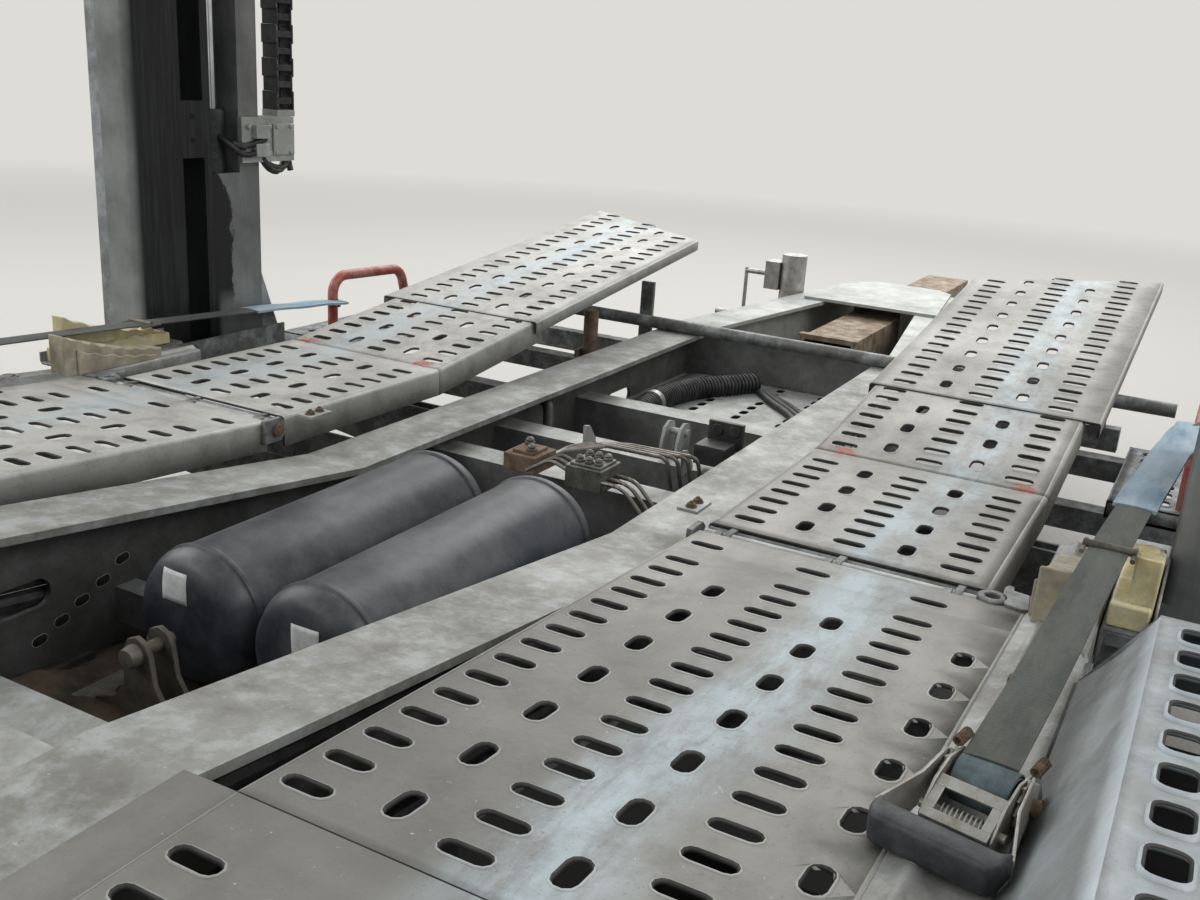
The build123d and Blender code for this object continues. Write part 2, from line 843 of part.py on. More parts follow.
def spring(x):
    """An air bag on its piston, with a plate below the rail."""
    z0 = tyre_radius + axle_radius - 5.0
    z1 = rail_height(x - spring_back) - rail_depth
    place = (x - spring_back, rail_centre)
    foot = z0 + piston_height
    height = z1 - 8.0 - foot
    profile = make_face(Polyline([(0, foot), (spring_radius, foot + 0.3 * height),
                                  (spring_radius, foot + 0.75 * height), (0.75 * spring_radius, foot + height),
                                  (0, foot + height)], close=True))
    bag = Pos(*place, 0) * revolve(Plane.XZ * profile, Axis.Z, 360)
    return bar("z", piston_radius, (*place, z0 + piston_height), 2 * piston_height) + bag + \
        bar("z", 0.78 * spring_radius, (*place, z1 - 4.0), 8.0)


def hanger(x):
    eye = x + arm_reach
    z0 = tyre_radius + axle_radius - 10.0
    z1 = rail_height(eye) - rail_depth + 30.0
    outline = [(eye - 110.0, z1), (eye - 60.0, z0), (eye + 60.0, z0), (eye + 90.0, z1)]
    near = arm_half + 2.0
    plates = [side_shape(outline, rail_centre + s * near, rail_centre + s * (near + arm_plate)) for s in (-1, 1)]
    pin = bar("y", 22.0, (eye, rail_centre, z0 + 70.0), 2 * (near + arm_plate))
    return plates[0] + plates[1] + pin - main_rail


def damper(x):
    """A shock absorber from the axle's tab up to the rail's web."""
    low = (x + 70.0, tyre_radius + 25.0)
    high = (x + damper_lean, rail_height(x + damper_lean) - rail_depth + 70.0)
    length = hypot(high[0] - low[0], high[1] - low[1])
    tilt = degrees(atan2(high[0] - low[0], high[1] - low[1]))
    body = Pos(0, 0, length * 0.36) * Cylinder(26.0, length * 0.6)
    body += Pos(0, 0, length * 0.68) * Cylinder(33.0, length * 0.5)
    for z in (0.0, length):
        body += Pos(0, 0, z) * Rot(90, 0, 0) * Cylinder(21.0, 40.0)
    reach = rail_inner_face - damper_y
    body += Pos(0, 12.0, 0) * Rot(90, 0, 0) * Cylinder(9.0, 24.0)
    body += Pos(0, reach / 2, length) * Rot(90, 0, 0) * Cylinder(9.0, reach)
    return (Pos(low[0], damper_y, low[1]) * Rot(0, tilt, 0) * body) - main_rail


def brake_chamber(x):
    """A spring brake cylinder behind the axle, on a bracket of the beam."""
    cx = x - 135.0
    z = tyre_radius + 20.0
    y = axle_beam_half - 60.0
    can = bar("y", 74.0, (cx, y, z), 60.0) + bar("y", 66.0, (cx, y - 70.0, z), 90.0)
    can += bar("y", 80.0, (cx, y, z), 12.0) + bar("y", 9.0, (cx, y + 50.0, z), 50.0)
    return can + block(cx - 40.0, x, y + 30.0, y + 40.0, z - 60.0, z + 40.0)


arms = [arm(x) - hanger(x) for x in axle_places]
axles = [axle(x) - piece - mirrored(piece) for x, piece in zip(axle_places, arms)]
save("axles", axles)
save("trailing_arms", both(*arms))
save("air_springs", both(*[spring(x) - piece for x, piece in zip(axle_places, arms)]))
save("arm_hangers", both(*[hanger(x) for x in axle_places]))
save("dampers", both(*[damper(x) - piece for x, piece in zip(axle_places, axles)]))
save("brake_chambers", both(*[brake_chamber(x) - piece for x, piece in zip(axle_places, axles)]))

# Wheels: twin tyres on two rims that are bolted to one hub
outer_middle = half_width - tyre_to_side - tyre_width / 2
inner_middle = outer_middle - tyre_width - twin_gap
disc_y = (outer_middle + inner_middle) / 2
disc_sheet = 12.0


def turned(points, x, side):
    """A ring turned about the axle; points are distances out from the middle, and radii."""
    face = make_face(Polyline([(y, r) for y, r in points], close=True))
    return on_side(Pos(x, 0, tyre_radius) * revolve(Plane.YZ * face, Axis.Y, 360), side)


def tyre_points(middle):
    w = tyre_width / 2
    wall = tyre_radius - 40.0
    bead = rim_radius + 70.0
    edge = tyre_radius - tyre_shoulder
    return [(middle - w * 0.8, rim_radius), (middle - w, bead), (middle - w, wall), (middle - w * 0.83, edge),
            (middle - w * 0.6, tyre_radius), (middle + w * 0.6, tyre_radius), (middle + w * 0.83, edge),
            (middle + w, wall), (middle + w, bead), (middle + w * 0.8, rim_radius)]


def rim_points(middle):
    w = rim_width / 2
    inner = rim_radius - rim_sheet
    return [(middle - w, inner), (middle - w, rim_radius), (middle + w, rim_radius), (middle + w, inner)]


def disc_points(middle, step):
    """The dished disc of one rim, from the hub's flange out to the rim."""
    inner = rim_radius - rim_sheet + 1.0
    far = disc_y + step * disc_sheet
    bend = middle - step * (rim_width / 2 - 27.0)
    return [(disc_y, hub_radius + 42.0), (disc_y, hub_radius - 30.0), (far, hub_radius - 30.0),
            (far, hub_radius + 38.0), (bend + step * disc_sheet, inner), (bend, inner)]


def hub_points():
    drum_in = disc_y - 90.0
    cap = disc_y + 90.0
    bore = spindle_radius + rest_gap
    return [(drum_in - drum_width, bore), (drum_in - drum_width, drum_radius), (drum_in, drum_radius),
            (drum_in + 20.0, hub_flange), (disc_y - disc_sheet, hub_flange),
            (disc_y - disc_sheet, hub_radius - 30.0), (cap - 20.0, hub_radius - 35.0),
            (cap, hub_radius - 50.0), (cap, bore)]


def wheel(x, side):
    """Both rims on their hub, with the brake drum inside the inner one."""
    whole = turned(hub_points(), x, side)
    for middle, step in ((outer_middle, 1), (inner_middle, -1)):
        whole += turned(rim_points(middle), x, side) + turned(disc_points(middle, step), x, side)
    ring = (hub_radius + 42.0 + rim_radius - rim_sheet) / 2
    for k in range(rim_hole_count):
        turn = Rot(0, 360.0 * (k + 0.5) / rim_hole_count, 0)
        place = Pos(x, side * disc_y, tyre_radius) * turn * Pos(0, 0, ring)
        whole -= place * Rot(90, 0, 0) * Cylinder(rim_hole_radius, rim_width / 2)
    return whole


for row, x in zip(("front", "rear"), axle_places):
    for word, side in (("left", 1), ("right", -1)):
        save(f"tyres_{row}_{word}", [turned(tyre_points(m), x, side) for m in (outer_middle, inner_middle)])
        save(f"wheel_{row}_{word}", wheel(x, side))

# Mud flaps in front of and behind the wheels
flap_sheet = 8.0
flap_low = 260.0
flap_gap = 60.0
flap_inner = outer_middle - tyre_width * 1.8


def flap(x):
    high = min(height_on(deck_line, x), height_on(deck_line, x + flap_sheet)) - member_depth - track_sheet
    return block(x, x + flap_sheet, flap_inner, half_width - 15.0, flap_low, high)


flap_places = [axle_places[0] + tyre_radius + flap_gap, axle_places[1] - tyre_radius - flap_gap]
save("mud_flaps", both(*[flap(x) for x in flap_places]))

# Drawbar: converging beams of the rails' section, a head, the telescoping tube and the eye
beam_top = hinge_z - rail_drop
beam_low = beam_top - rail_depth
converge = nose_inner - beam_inner


def beam_part(y0, y1, z0, z1):
    """A slanted strip of the converging beam, between two distances from the middle at its rear."""
    return plan_shape([(rail_front, y0), (rail_front, y1), (nose_x, y1 + converge), (nose_x, y0 + converge)], z0, z1)


drawbar_side = beam_part(beam_inner, beam_outer, beam_top - flange_sheet, beam_top)
drawbar_side += beam_part(beam_inner, beam_outer, beam_low, beam_low + flange_sheet)
drawbar_side += beam_part(rail_inner_face, rail_outer_face, beam_low, beam_top)
save("drawbar_sides", both(drawbar_side))

eye_x = front_end - eye_outer
bar_rear = hinge_x + bar_rear_at
bar_front = eye_x - eye_outer - eye_shank
tube_z = beam_top - bar_drop - bar_half
inside = bar_half - bar_wall
tube = block(bar_rear, bar_front, -bar_half, bar_half, tube_z - bar_half, tube_z + bar_half)
tube -= block(bar_rear - 1.0, bar_front - bar_wall, -inside, inside, tube_z - inside, tube_z + inside)
collar = bar_half + 12.0
tube += block(bar_rear, bar_rear + 30.0, -collar, collar, tube_z + bar_half, tube_z + bar_half + 8.0)
save("drawbar_tube", tube)

head_rear = nose_x - head_length
head_front = nose_x + head_overhang
head_half = nose_inner + bar_half
skew = 60.0
head = plan_shape([(head_rear - 120.0, -head_half - skew), (head_rear - 120.0, head_half + skew),
                   (head_front - skew, head_half), (head_front, head_half - skew),
                   (head_front, skew - head_half), (head_front - skew, -head_half)],
                  beam_top, beam_top + plate_sheet)
head += plan_shape([(head_rear, -head_half), (head_rear, head_half), (head_front, head_half - skew),
                    (head_front, skew - head_half)], beam_low - plate_sheet, beam_low)
for s in (-1, 1):
    head += block(head_rear, nose_x, s * bar_half, s * nose_inner, beam_low, beam_top)
saddle = block(bar_rear + 60.0, bar_rear + 130.0, -beam_inner, beam_inner, tube_z - bar_half - 20.0,
               tube_z - bar_half) - drawbar_side - mirrored(drawbar_side)

eye = block(bar_front, bar_front + eye_plate, -75.0, 75.0, tube_z - 75.0, tube_z + 75.0)
shank_end = eye_x - eye_outer + 12.0
eye += bar("x", eye_shank_radius, ((bar_front + shank_end) / 2, 0, tube_z), shank_end - bar_front)
eye += bar("z", eye_outer, (eye_x, 0, tube_z), eye_height)
save("coupling_eye", eye - bar("z", eye_radius, (eye_x, 0, tube_z), 2 * eye_height))

# Jack on the left of the drawbar
jack_x = hinge_x + jack_at
jack_outer = jack_bore + jack_wall
beam_edge = beam_outer + converge * (jack_x - rail_front) / (nose_x - rail_front)
jack_y = beam_edge + jack_beam_gap + jack_outer
jack_top = hinge_z + jack_top_rise
jack_middle = (jack_top + jack_tube_low) / 2
jack_cap = 20.0
jack_tube = bar("z", jack_outer, (jack_x, jack_y, jack_middle), jack_top - jack_tube_low)
jack_tube -= bar("z", jack_bore, (jack_x, jack_y, jack_middle - jack_cap), jack_top - jack_tube_low)
gear_y = jack_y + jack_outer
crank_z = jack_top - 80.0
gearbox = block(jack_x - 40.0, jack_x + 40.0, gear_y - jack_wall / 2, gear_y + 50.0, crank_z - 50.0, crank_z + 50.0)
crank = bar("y", 9.0, (jack_x, gear_y + 90.0, crank_z), 100.0)
crank += block(jack_x - 8.0, jack_x + 8.0, gear_y + 132.0, gear_y + 140.0, crank_z - 180.0, crank_z + 12.0)
crank += bar("y", 11.0, (jack_x, gear_y + 190.0, crank_z - 168.0), 110.0)
save("jack_tube", jack_tube + gearbox + crank)
mount = block(jack_x - 60.0, jack_x + 60.0, beam_edge - rail_flange / 2, jack_y - jack_cap,
              beam_low + flange_sheet, beam_top - flange_sheet)
mount -= bar("z", jack_outer, (jack_x, jack_y, jack_middle), 2 * hinge_z)
outer_pieces = sorted((mount - drawbar_side).solids(), key=lambda piece: piece.center().Y)
save("drawbar_head", head, saddle, outer_pieces[-1])
leg_height = jack_top - jack_cap - jack_lift - piston_gap
jack_leg = bar("z", jack_bore - rest_gap, (jack_x, jack_y, leg_height / 2), leg_height)
jack_leg += bar("z", jack_foot_radius, (jack_x, jack_y, jack_foot_sheet / 2), jack_foot_sheet)
save("jack_leg", jack_leg)

# Air tanks in cradles between the rails
tank_x = hinge_x + tank_at
tank_z = hinge_z - tank_drop


def tank(y):
    half = tank_length / 2
    flat = half - tank_dome
    side = [(flat, tank_radius), (half - 0.3 * tank_dome, 0.7 * tank_radius), (half, 0.3 * tank_radius), (half, 0)]
    points = [(-x, r) for x, r in reversed(side)] + side
    return Pos(tank_x, y, tank_z) * revolve(make_face(Polyline(points, close=True)), Axis.X, 360)


tanks = [tank(tank_left), tank(tank_right)]


def cradle(x):
    body = block(x - 20.0, x + 20.0, -rail_inner_face, rail_inner_face, tank_z - tank_radius - 8.0,
                 tank_z - 0.5 * tank_radius)
    for piece in tanks:
        body -= piece
    return body - both_rails


save("air_tanks", tanks)
save("crossmembers", crossmembers, [cradle(tank_x + shift) for shift in (-cradle_half, cradle_half)])

# Valve block and conduit between the crossmembers
valve_x = hinge_x + cross_rows[3][0]
valve_z = rail_height(valve_x) - cross_rows[3][1]
valve = block(valve_x + 5.0, valve_x + 70.0, -190.0, -20.0, valve_z, valve_z + 45.0)
for y in (-165.0, -125.0, -85.0, -45.0):
    valve += bar("z", 13.0, (valve_x + 38.0, y, valve_z + 55.0), 24.0)
save("valve_block", valve)
conduit_radius = 28.0
conduit_z = floor_z + conduit_radius
conduit = pipe([(hinge_x + 1060.0, 190.0, conduit_z), (hinge_x + 1220.0, 200.0, conduit_z),
                (hinge_x + 1400.0, 150.0, conduit_z), (hinge_x + 1560.0, 60.0, conduit_z)], conduit_radius, 150.0)
save("conduit", conduit)


# Steps in front of the front posts, with hoops for the straps
def step():
    body = block(step_rear, step_front, step_inner, step_outer, step_top - step_sheet, step_top)
    for x in (step_rear, step_front - step_sheet):
        body += block(x, x + step_sheet, step_inner, step_outer, step_top - step_fold, step_top)
    return body


hoop_y = post_inner
hoop = pipe([(hinge_x + hoop_rear_at, hoop_y, step_top), (hinge_x + hoop_rear_at, hoop_y, step_top + hoop_height),
             (hinge_x + hoop_front_at - hoop_bend, hoop_y, step_top + hoop_height - 12.0),
             (hinge_x + hoop_front_at, hoop_y, step_top)], hoop_radius, hoop_bend)
save("steps", both(step()))
save("hoops", both(hoop - step()))

# Chocks on trays behind the front posts
chock_x = hinge_x + chock_rear_at
tray_sheet = 4.0
tray_outer = post_inner - 4.0
inner_chock_outer = member_inner + 10.0
outer_chock = (sill_outer - 32.0, tray_outer - 2.0)


def wedge(y0, y1, rear, front):
    end = chock_x + chock_length
    return side_shape([(chock_x, hinge_z), (end, hinge_z), (end, hinge_z + front),
                       (chock_x + 0.6 * chock_length, hinge_z + 0.5 * (front + rear)),
                       (chock_x + 0.2 * chock_length, hinge_z + rear), (chock_x, hinge_z + rear)], y0, y1)


inner_wedge = wedge(sill_ramp_gap + cover_outer, inner_chock_outer, 85.0, 25.0)
outer_wedge = block(chock_x, chock_x + chock_length, outer_chock[0], outer_chock[1], hinge_z, hinge_z + 36.0)
outer_wedge += wedge(outer_chock[1] - 32.0, outer_chock[1], 95.0, 36.0)
tray = block(chock_x - 6.0, chock_x + sill_front_at, sill_outer, tray_outer, hinge_z - tray_sheet, hinge_z)
save("chocks", both(inner_wedge, outer_wedge))
save("sill_plates", both(sill, tray))

# Straps with ratchets from the sills to the hoops
ratchet_x = hinge_x + ratchet_at
sill_z = height_on(deck_line, ratchet_x)
ratchet_y = sill_outer - 50.0
strap_start = (ratchet_x, ratchet_y, sill_z + 40.0)
strap_end = (hinge_x + hoop_rear_at + 10.0, hoop_y - 12.0, step_top + hoop_height - 14.0)
strap = ribbon(strap_start, strap_end, strap_width, strap_sheet)


def ratchet():
    frame = None
    for y in (ratchet_y - 44.0, ratchet_y + 38.0):
        cheek = side_shape([(ratchet_x - 95.0, sill_z + 8.0), (ratchet_x + 80.0, sill_z + 5.0),
                            (ratchet_x + 60.0, sill_z + 40.0), (ratchet_x, sill_z + 62.0),
                            (ratchet_x - 60.0, sill_z + 50.0)], y, y + 6.0)
        frame = cheek if frame is None else frame + cheek
    frame += bar("y", 17.0, (ratchet_x, ratchet_y, sill_z + 33.0), 96.0)
    frame += bar("y", 11.0, (ratchet_x + 62.0, ratchet_y, sill_z + 16.0), 96.0)
    return frame + block(ratchet_x - 130.0, ratchet_x - 88.0, ratchet_y - 68.0, ratchet_y + 48.0, sill_z + 12.0,
                         sill_z + 40.0)


ratchets = ratchet()
save("ratchets", both(ratchets))
save("straps", both(strap - ratchets - hoop))

# Rear beam, bumper bar and lamps
beam_z1 = low_z - track_lip
beam_z0 = beam_z1 - beam_depth
beam_x = rear_end + track_end_gap - 10.0
beam_y = half_width - beam_inset
wall = upper_cross_wall
rear_beam = block(beam_x, beam_x + beam_length, -beam_y, beam_y, beam_z0, beam_z1)
rear_beam -= block(beam_x + wall, beam_x + beam_length - wall, -beam_y + wall, beam_y - wall, beam_z0 + wall,
                   beam_z1 - wall)
save("rear_beam", rear_beam - both_rails)
bumper_x = beam_x - 20.0
bumper_y = half_width - bumper_inset
bumper = block(bumper_x, bumper_x + beam_length, -bumper_y, bumper_y, bumper_low, bumper_high)
bumper -= block(bumper_x + wall, bumper_x + beam_length - wall, -bumper_y - 1.0, bumper_y + 1.0, bumper_low + wall,
                bumper_high - wall)
for s in (-1, 1):
    bumper += block(beam_x, beam_x + 70.0, s * stay_y - 5.0, s * stay_y + 5.0, bumper_high, beam_z0)
save("underrun_bar", bumper)
lamp = block(rear_end, beam_x, half_width - 515.0, half_width - 65.0, beam_z0 + 5.0, beam_z1 - 5.0)
save("rear_lamps", both(fillet(lamp.edges().filter_by(Axis.X), 15.0)))

# Loading ramps slide out below the rear of the tracks
slide_ramp_y = track_outer - slide_ramp_inset
slide_ramp_rear = rear_end + 40.0
ramp_low = slide_ramp_z - slide_ramp_height / 2
ramp_high = slide_ramp_z + slide_ramp_height / 2


def loading_ramp(side):
    x0 = slide_ramp_rear
    x1 = x0 + slide_ramp_length
    inner = slide_ramp_half - slide_ramp_side
    body = block(x0, x1, slide_ramp_y - slide_ramp_half, slide_ramp_y - inner, ramp_low, ramp_high)
    body += block(x0, x1, slide_ramp_y + inner, slide_ramp_y + slide_ramp_half, ramp_low, ramp_high)
    count = int(slide_ramp_length // rung_pitch)
    start = x0 + (slide_ramp_length - (count - 1) * rung_pitch) / 2
    for k in range(count):
        x = start + k * rung_pitch
        body += block(x - rung_width / 2, x + rung_width / 2, slide_ramp_y - inner, slide_ramp_y + inner,
                      ramp_high - rung_height, ramp_high)
    return on_side(body, side)


save("loading_ramp_left", loading_ramp(1))
save("loading_ramp_right", loading_ramp(-1))

# Runners that the loading ramps lie in
runner_rear = slide_ramp_rear + 110.0
runner_front = runner_rear + runner_length
runner_lip = 22.0
runner_lid = 12.0
tie_z = 640.0
tie_width = 40.0
tie_places = [runner_rear + 58.0, runner_front - 60.0]


def runner():
    whole = None
    for s in (-1, 1):
        edge = slide_ramp_y + s * (slide_ramp_half + slide_gap)
        outside_face = edge + s * runner_sheet
        side_wall = block(runner_rear, runner_front, edge, outside_face, ramp_low - free_gap, ramp_high + free_gap)
        shelf = block(runner_rear, runner_front, edge, edge - s * runner_lip, ramp_low - free_gap, ramp_low - rest_gap)
        lid = block(runner_rear, runner_front, edge, edge - s * runner_lid, ramp_high + slide_gap,
                    ramp_high + free_gap)
        whole = side_wall + shelf + lid if whole is None else whole + side_wall + shelf + lid
        for x in tie_places:
            whole += block(x, x + tie_width, edge, outside_face, ramp_high + free_gap, tie_z)
    for x in tie_places:
        reach = slide_ramp_y + slide_ramp_half + slide_gap + runner_sheet
        whole += block(x, x + tie_width, rail_centre, reach, tie_z, tie_z + free_gap)
    return whole - main_rail


save("ramp_runners", both(runner()))
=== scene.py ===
import json
import math

import bpy
import numpy as np
from mathutils import Matrix, Vector


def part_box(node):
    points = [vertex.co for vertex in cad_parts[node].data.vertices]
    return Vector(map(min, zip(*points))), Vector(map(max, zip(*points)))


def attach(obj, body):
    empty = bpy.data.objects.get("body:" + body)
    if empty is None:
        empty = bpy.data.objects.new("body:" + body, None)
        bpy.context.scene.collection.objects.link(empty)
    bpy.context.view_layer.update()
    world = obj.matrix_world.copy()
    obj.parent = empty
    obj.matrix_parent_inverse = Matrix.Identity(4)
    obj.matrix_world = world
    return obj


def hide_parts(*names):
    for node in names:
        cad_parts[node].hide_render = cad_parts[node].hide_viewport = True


bl_info = {
    "name": "Car transporter trailer",
    "version": (1, 0, 0),
    "blender": (4, 5, 0),
    "location": "3D View > Sidebar > Trailer",
    "description": "Dresses the packed centre-axle car transporter trailer with its slotted decks and finishes",
    "category": "Object",
}

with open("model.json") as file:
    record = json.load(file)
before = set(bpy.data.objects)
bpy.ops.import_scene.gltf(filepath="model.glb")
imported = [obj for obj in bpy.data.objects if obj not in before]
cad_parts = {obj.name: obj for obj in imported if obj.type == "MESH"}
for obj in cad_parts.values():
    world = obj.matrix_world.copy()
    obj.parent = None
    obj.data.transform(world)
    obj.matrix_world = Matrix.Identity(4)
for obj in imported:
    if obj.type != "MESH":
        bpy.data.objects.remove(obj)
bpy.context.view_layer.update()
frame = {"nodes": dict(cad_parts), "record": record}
BODY_OF = {node: body for body, nodes in frame["record"]["behaviour"]["bodies"].items() for node in nodes}

# Places of the CAD's pieces that the scene's pieces sit on, metres. X runs forward, Y to the left, Z up.
DECK_LINE = [(-4.680, 0.790), (-3.450, 0.790), (-2.050, 0.937), (-0.100, 0.937), (0.874, 0.862)]
RAMP_LINE = [(0.926, 0.860), (1.430, 0.856), (3.030, 1.0439)]
HINGE_X, HINGE_Z = 0.900, 0.860             # the front ramps' pins
UPPER_TOP = 2.210                           # the upper deck's tracks
TRACK_INNER, TRACK_OUTER = 0.453, 0.938     # flat width of a lower track
WHEEL_PATH = 0.730                          # where the cars' tyres run, off the middle
SLOT_PITCH = 0.0558                         # from slot to slot along a track
RAIL_WEB = 0.3275                           # the inner face of a main rail's web
GUARD_FOOT, GUARD_TOP_INNER, GUARD_OUTER = 1.0355, 1.107, 1.2745    # a wheel guard across: foot, top, skirt
GUARD_RISE, GUARD_SKIRT = 0.130, 0.070      # its top over the deck's line, and how deep the skirt hangs
POSTS = (1.359, -3.350)                     # the front and rear posts' middles
POST_FACE = 1.100                           # the face that the carriages slide on
AXLES = {"front": -0.260, "rear": -1.520}
AXLE_Z = 0.393
TWIN_TYRES = (1.143, 0.859)                 # middles of an axle's outer and inner tyre
CROSSMEMBER_TOP = 0.782
FLOOR_PLATE_TOP = 0.6630
SIDES = (("left", 1), ("right", -1))


# Shapes as arrays ------------------------------------------------------------

class Shape:
    """Points, faces and a wear value per point, gathered from several surfaces."""

    def __init__(self):
        self.points, self.faces, self.wear, self.count = [], [], [], 0

    def add(self, points, faces, wear=None):
        points = np.asarray(points, float).reshape(-1, 3)
        self.points.append(points)
        self.faces.extend((np.asarray(face) + self.count).tolist() for face in faces)
        self.wear.append(np.zeros(len(points)) if wear is None else np.asarray(wear, float))
        self.count += len(points)
        return self

    def join(self, other, shift=(0, 0, 0)):
        return self.add(np.vstack(other.points) + np.array(shift), other.faces, np.concatenate(other.wear))

    def array(self):
        return np.vstack(self.points)


def mirrored(shape):
    """The same shape on the other side: y changes sign and every face is turned over."""
    other = Shape()
    other.add(shape.array() * (1, -1, 1), [face[::-1] for face in shape.faces], np.concatenate(shape.wear))
    return other


def both(shape):
    """The shape and its mirror image."""
    return Shape().join(shape).join(mirrored(shape))


def grid(points, close_u=False, close_v=False, caps=False):
    """Quads over a u by v array of points; a closed direction joins its last row to its first."""
    rows, cols = points.shape[:2]
    index = np.arange(rows * cols).reshape(rows, cols)
    if close_u:
        index = np.vstack([index, index[:1]])
    if close_v:
        index = np.hstack([index, index[:, :1]])
    quads = np.stack([index[:-1, :-1], index[1:, :-1], index[1:, 1:], index[:-1, 1:]], -1).reshape(-1, 4)
    faces = quads.tolist()
    if caps:
        faces += [index[0, :cols].tolist(), index[-1, :cols][::-1].tolist()]
    return Shape().add(points.reshape(-1, 3), faces)


def frames(path):
    """Side and up directions along a path: each point's plane is square to the mean of its two runs."""
    path = np.asarray(path, float)
    run = np.gradient(path, axis=0)
    run /= np.linalg.norm(run, axis=1)[:, None]
    hint = np.where(np.abs(run[:, 2:3]) > 0.95, [[1.0, 0, 0]], [[0, 0, 1.0]])
    if np.ptp(hint, axis=0).any():
        hint = np.tile([[0.0, 1.0, 0.0]], (len(path), 1))
    side = np.cross(hint, run)
    side /= np.linalg.norm(side, axis=1)[:, None]
    return side, np.cross(run, side)


def sweep(path, outline):
    """An outline (side, up) carried along a path of points, closed at its ends."""
    path = np.asarray(path, float)
    side, up = frames(path)
    outline = np.asarray(outline, float)
    points = path[:, None] + side[:, None] * outline[None, :, :1] + up[:, None] * outline[None, :, 1:]
    return grid(points[:, ::-1], close_v=True, caps=True)


def circle(radius, count):
    """Points on a circle, counter-clockwise."""
    angle = np.linspace(0, 2 * math.pi, count, endpoint=False)
    return np.stack([radius * np.cos(angle), radius * np.sin(angle)], -1)


def rounded(points, bend):
    """A route with each corner replaced by a quadratic arc that starts bend before it."""
    points = [np.array(p, float) for p in points]
    route = [points[0]]
    for before, corner, after in zip(points, points[1:], points[2:]):
        a = corner + (before - corner) / np.linalg.norm(before - corner) * bend
        b = corner + (after - corner) / np.linalg.norm(after - corner) * bend
        t = np.linspace(0, 1, 6)[:, None]
        route.extend((1 - t) ** 2 * a + 2 * t * (1 - t) * corner + t ** 2 * b)
    return np.array(route + [points[-1]])


def tube(points, radius, bend=0.03, sides=10):
    """A round bar or pipe along a route with rounded corners."""
    return sweep(rounded(points, bend), circle(radius, sides))


def turned(profile, place, axis, count):
    """A profile of (distance along the axis, radius) turned about an axis through a place."""
    profile = np.asarray(profile, float)
    angle = np.linspace(0, 2 * math.pi, count, endpoint=False)
    along = np.repeat(profile[:, :1], count, 1)
    a = profile[:, 1:] * np.cos(angle)
    b = profile[:, 1:] * np.sin(angle)
    order = {"x": (along, a, b), "y": (b, along, a), "z": (a, b, along)}[axis]
    return grid(np.stack(order, -1)[:, ::-1] + np.array(place, float), close_v=True, caps=True)


def prism(outline, low, high, plane):
    """An outline given depth between two planes; the outline runs counter-clockwise seen from the high side."""
    outline = np.asarray(outline, float)
    layers = []
    for depth in (low, high):
        d = np.full(len(outline), depth)
        order = {"xy": (outline[:, 0], outline[:, 1], d), "xz": (outline[:, 0], -d, outline[:, 1]),
                 "yz": (d, outline[:, 0], outline[:, 1])}[plane]
        layers.append(np.stack(order, -1))
    points = np.stack(layers)
    count = len(outline)
    ring = np.arange(count)
    nxt = np.roll(ring, -1)
    faces = np.stack([ring, nxt, nxt + count, ring + count], -1).tolist()
    faces += [ring[::-1].tolist(), (ring + count).tolist()]
    return Shape().add(points, faces)


def blocks(boxes):
    """Boxes from (x0, x1, y0, y1, z0, z1) rows, all in one array."""
    rows = np.asarray(boxes, float).reshape(-1, 6)
    corner = np.array([[0, 2, 4], [1, 2, 4], [1, 3, 4], [0, 3, 4], [0, 2, 5], [1, 2, 5], [1, 3, 5], [0, 3, 5]])
    points = rows[:, corner]
    faces = np.array([[3, 2, 1, 0], [4, 5, 6, 7], [0, 1, 5, 4], [1, 2, 6, 5], [2, 3, 7, 6], [3, 0, 4, 7]])
    index = np.arange(len(rows))[:, None, None] * 8 + faces
    return Shape().add(points.reshape(-1, 3), index.reshape(-1, 4).tolist())


def turn_about(shape, axis, angle, centre=(0, 0, 0)):
    """The shape turned by an angle about an axis through a centre."""
    matrix = np.array(Matrix.Rotation(angle, 3, axis))
    centre = np.array(centre, float)
    other = Shape()
    return other.add((shape.array() - centre) @ matrix.T + centre, shape.faces, np.concatenate(shape.wear))


def bolt(place, axis, size, sign=1):
    """A washer with a six-sided head and a domed stub on it, standing on a face."""
    shape = Shape()
    for rows, sides in (([(0.0, 1.25), (0.2, 1.2)], 12), ([(0.2, 0.92), (0.75, 0.92), (0.85, 0.7)], 6),
                        ([(0.85, 0.45), (1.2, 0.4)], 8)):
        shape.join(turned([(sign * d * size, r * size) for d, r in rows][::sign], (0, 0, 0), axis, sides))
    return Shape().join(shape, place)


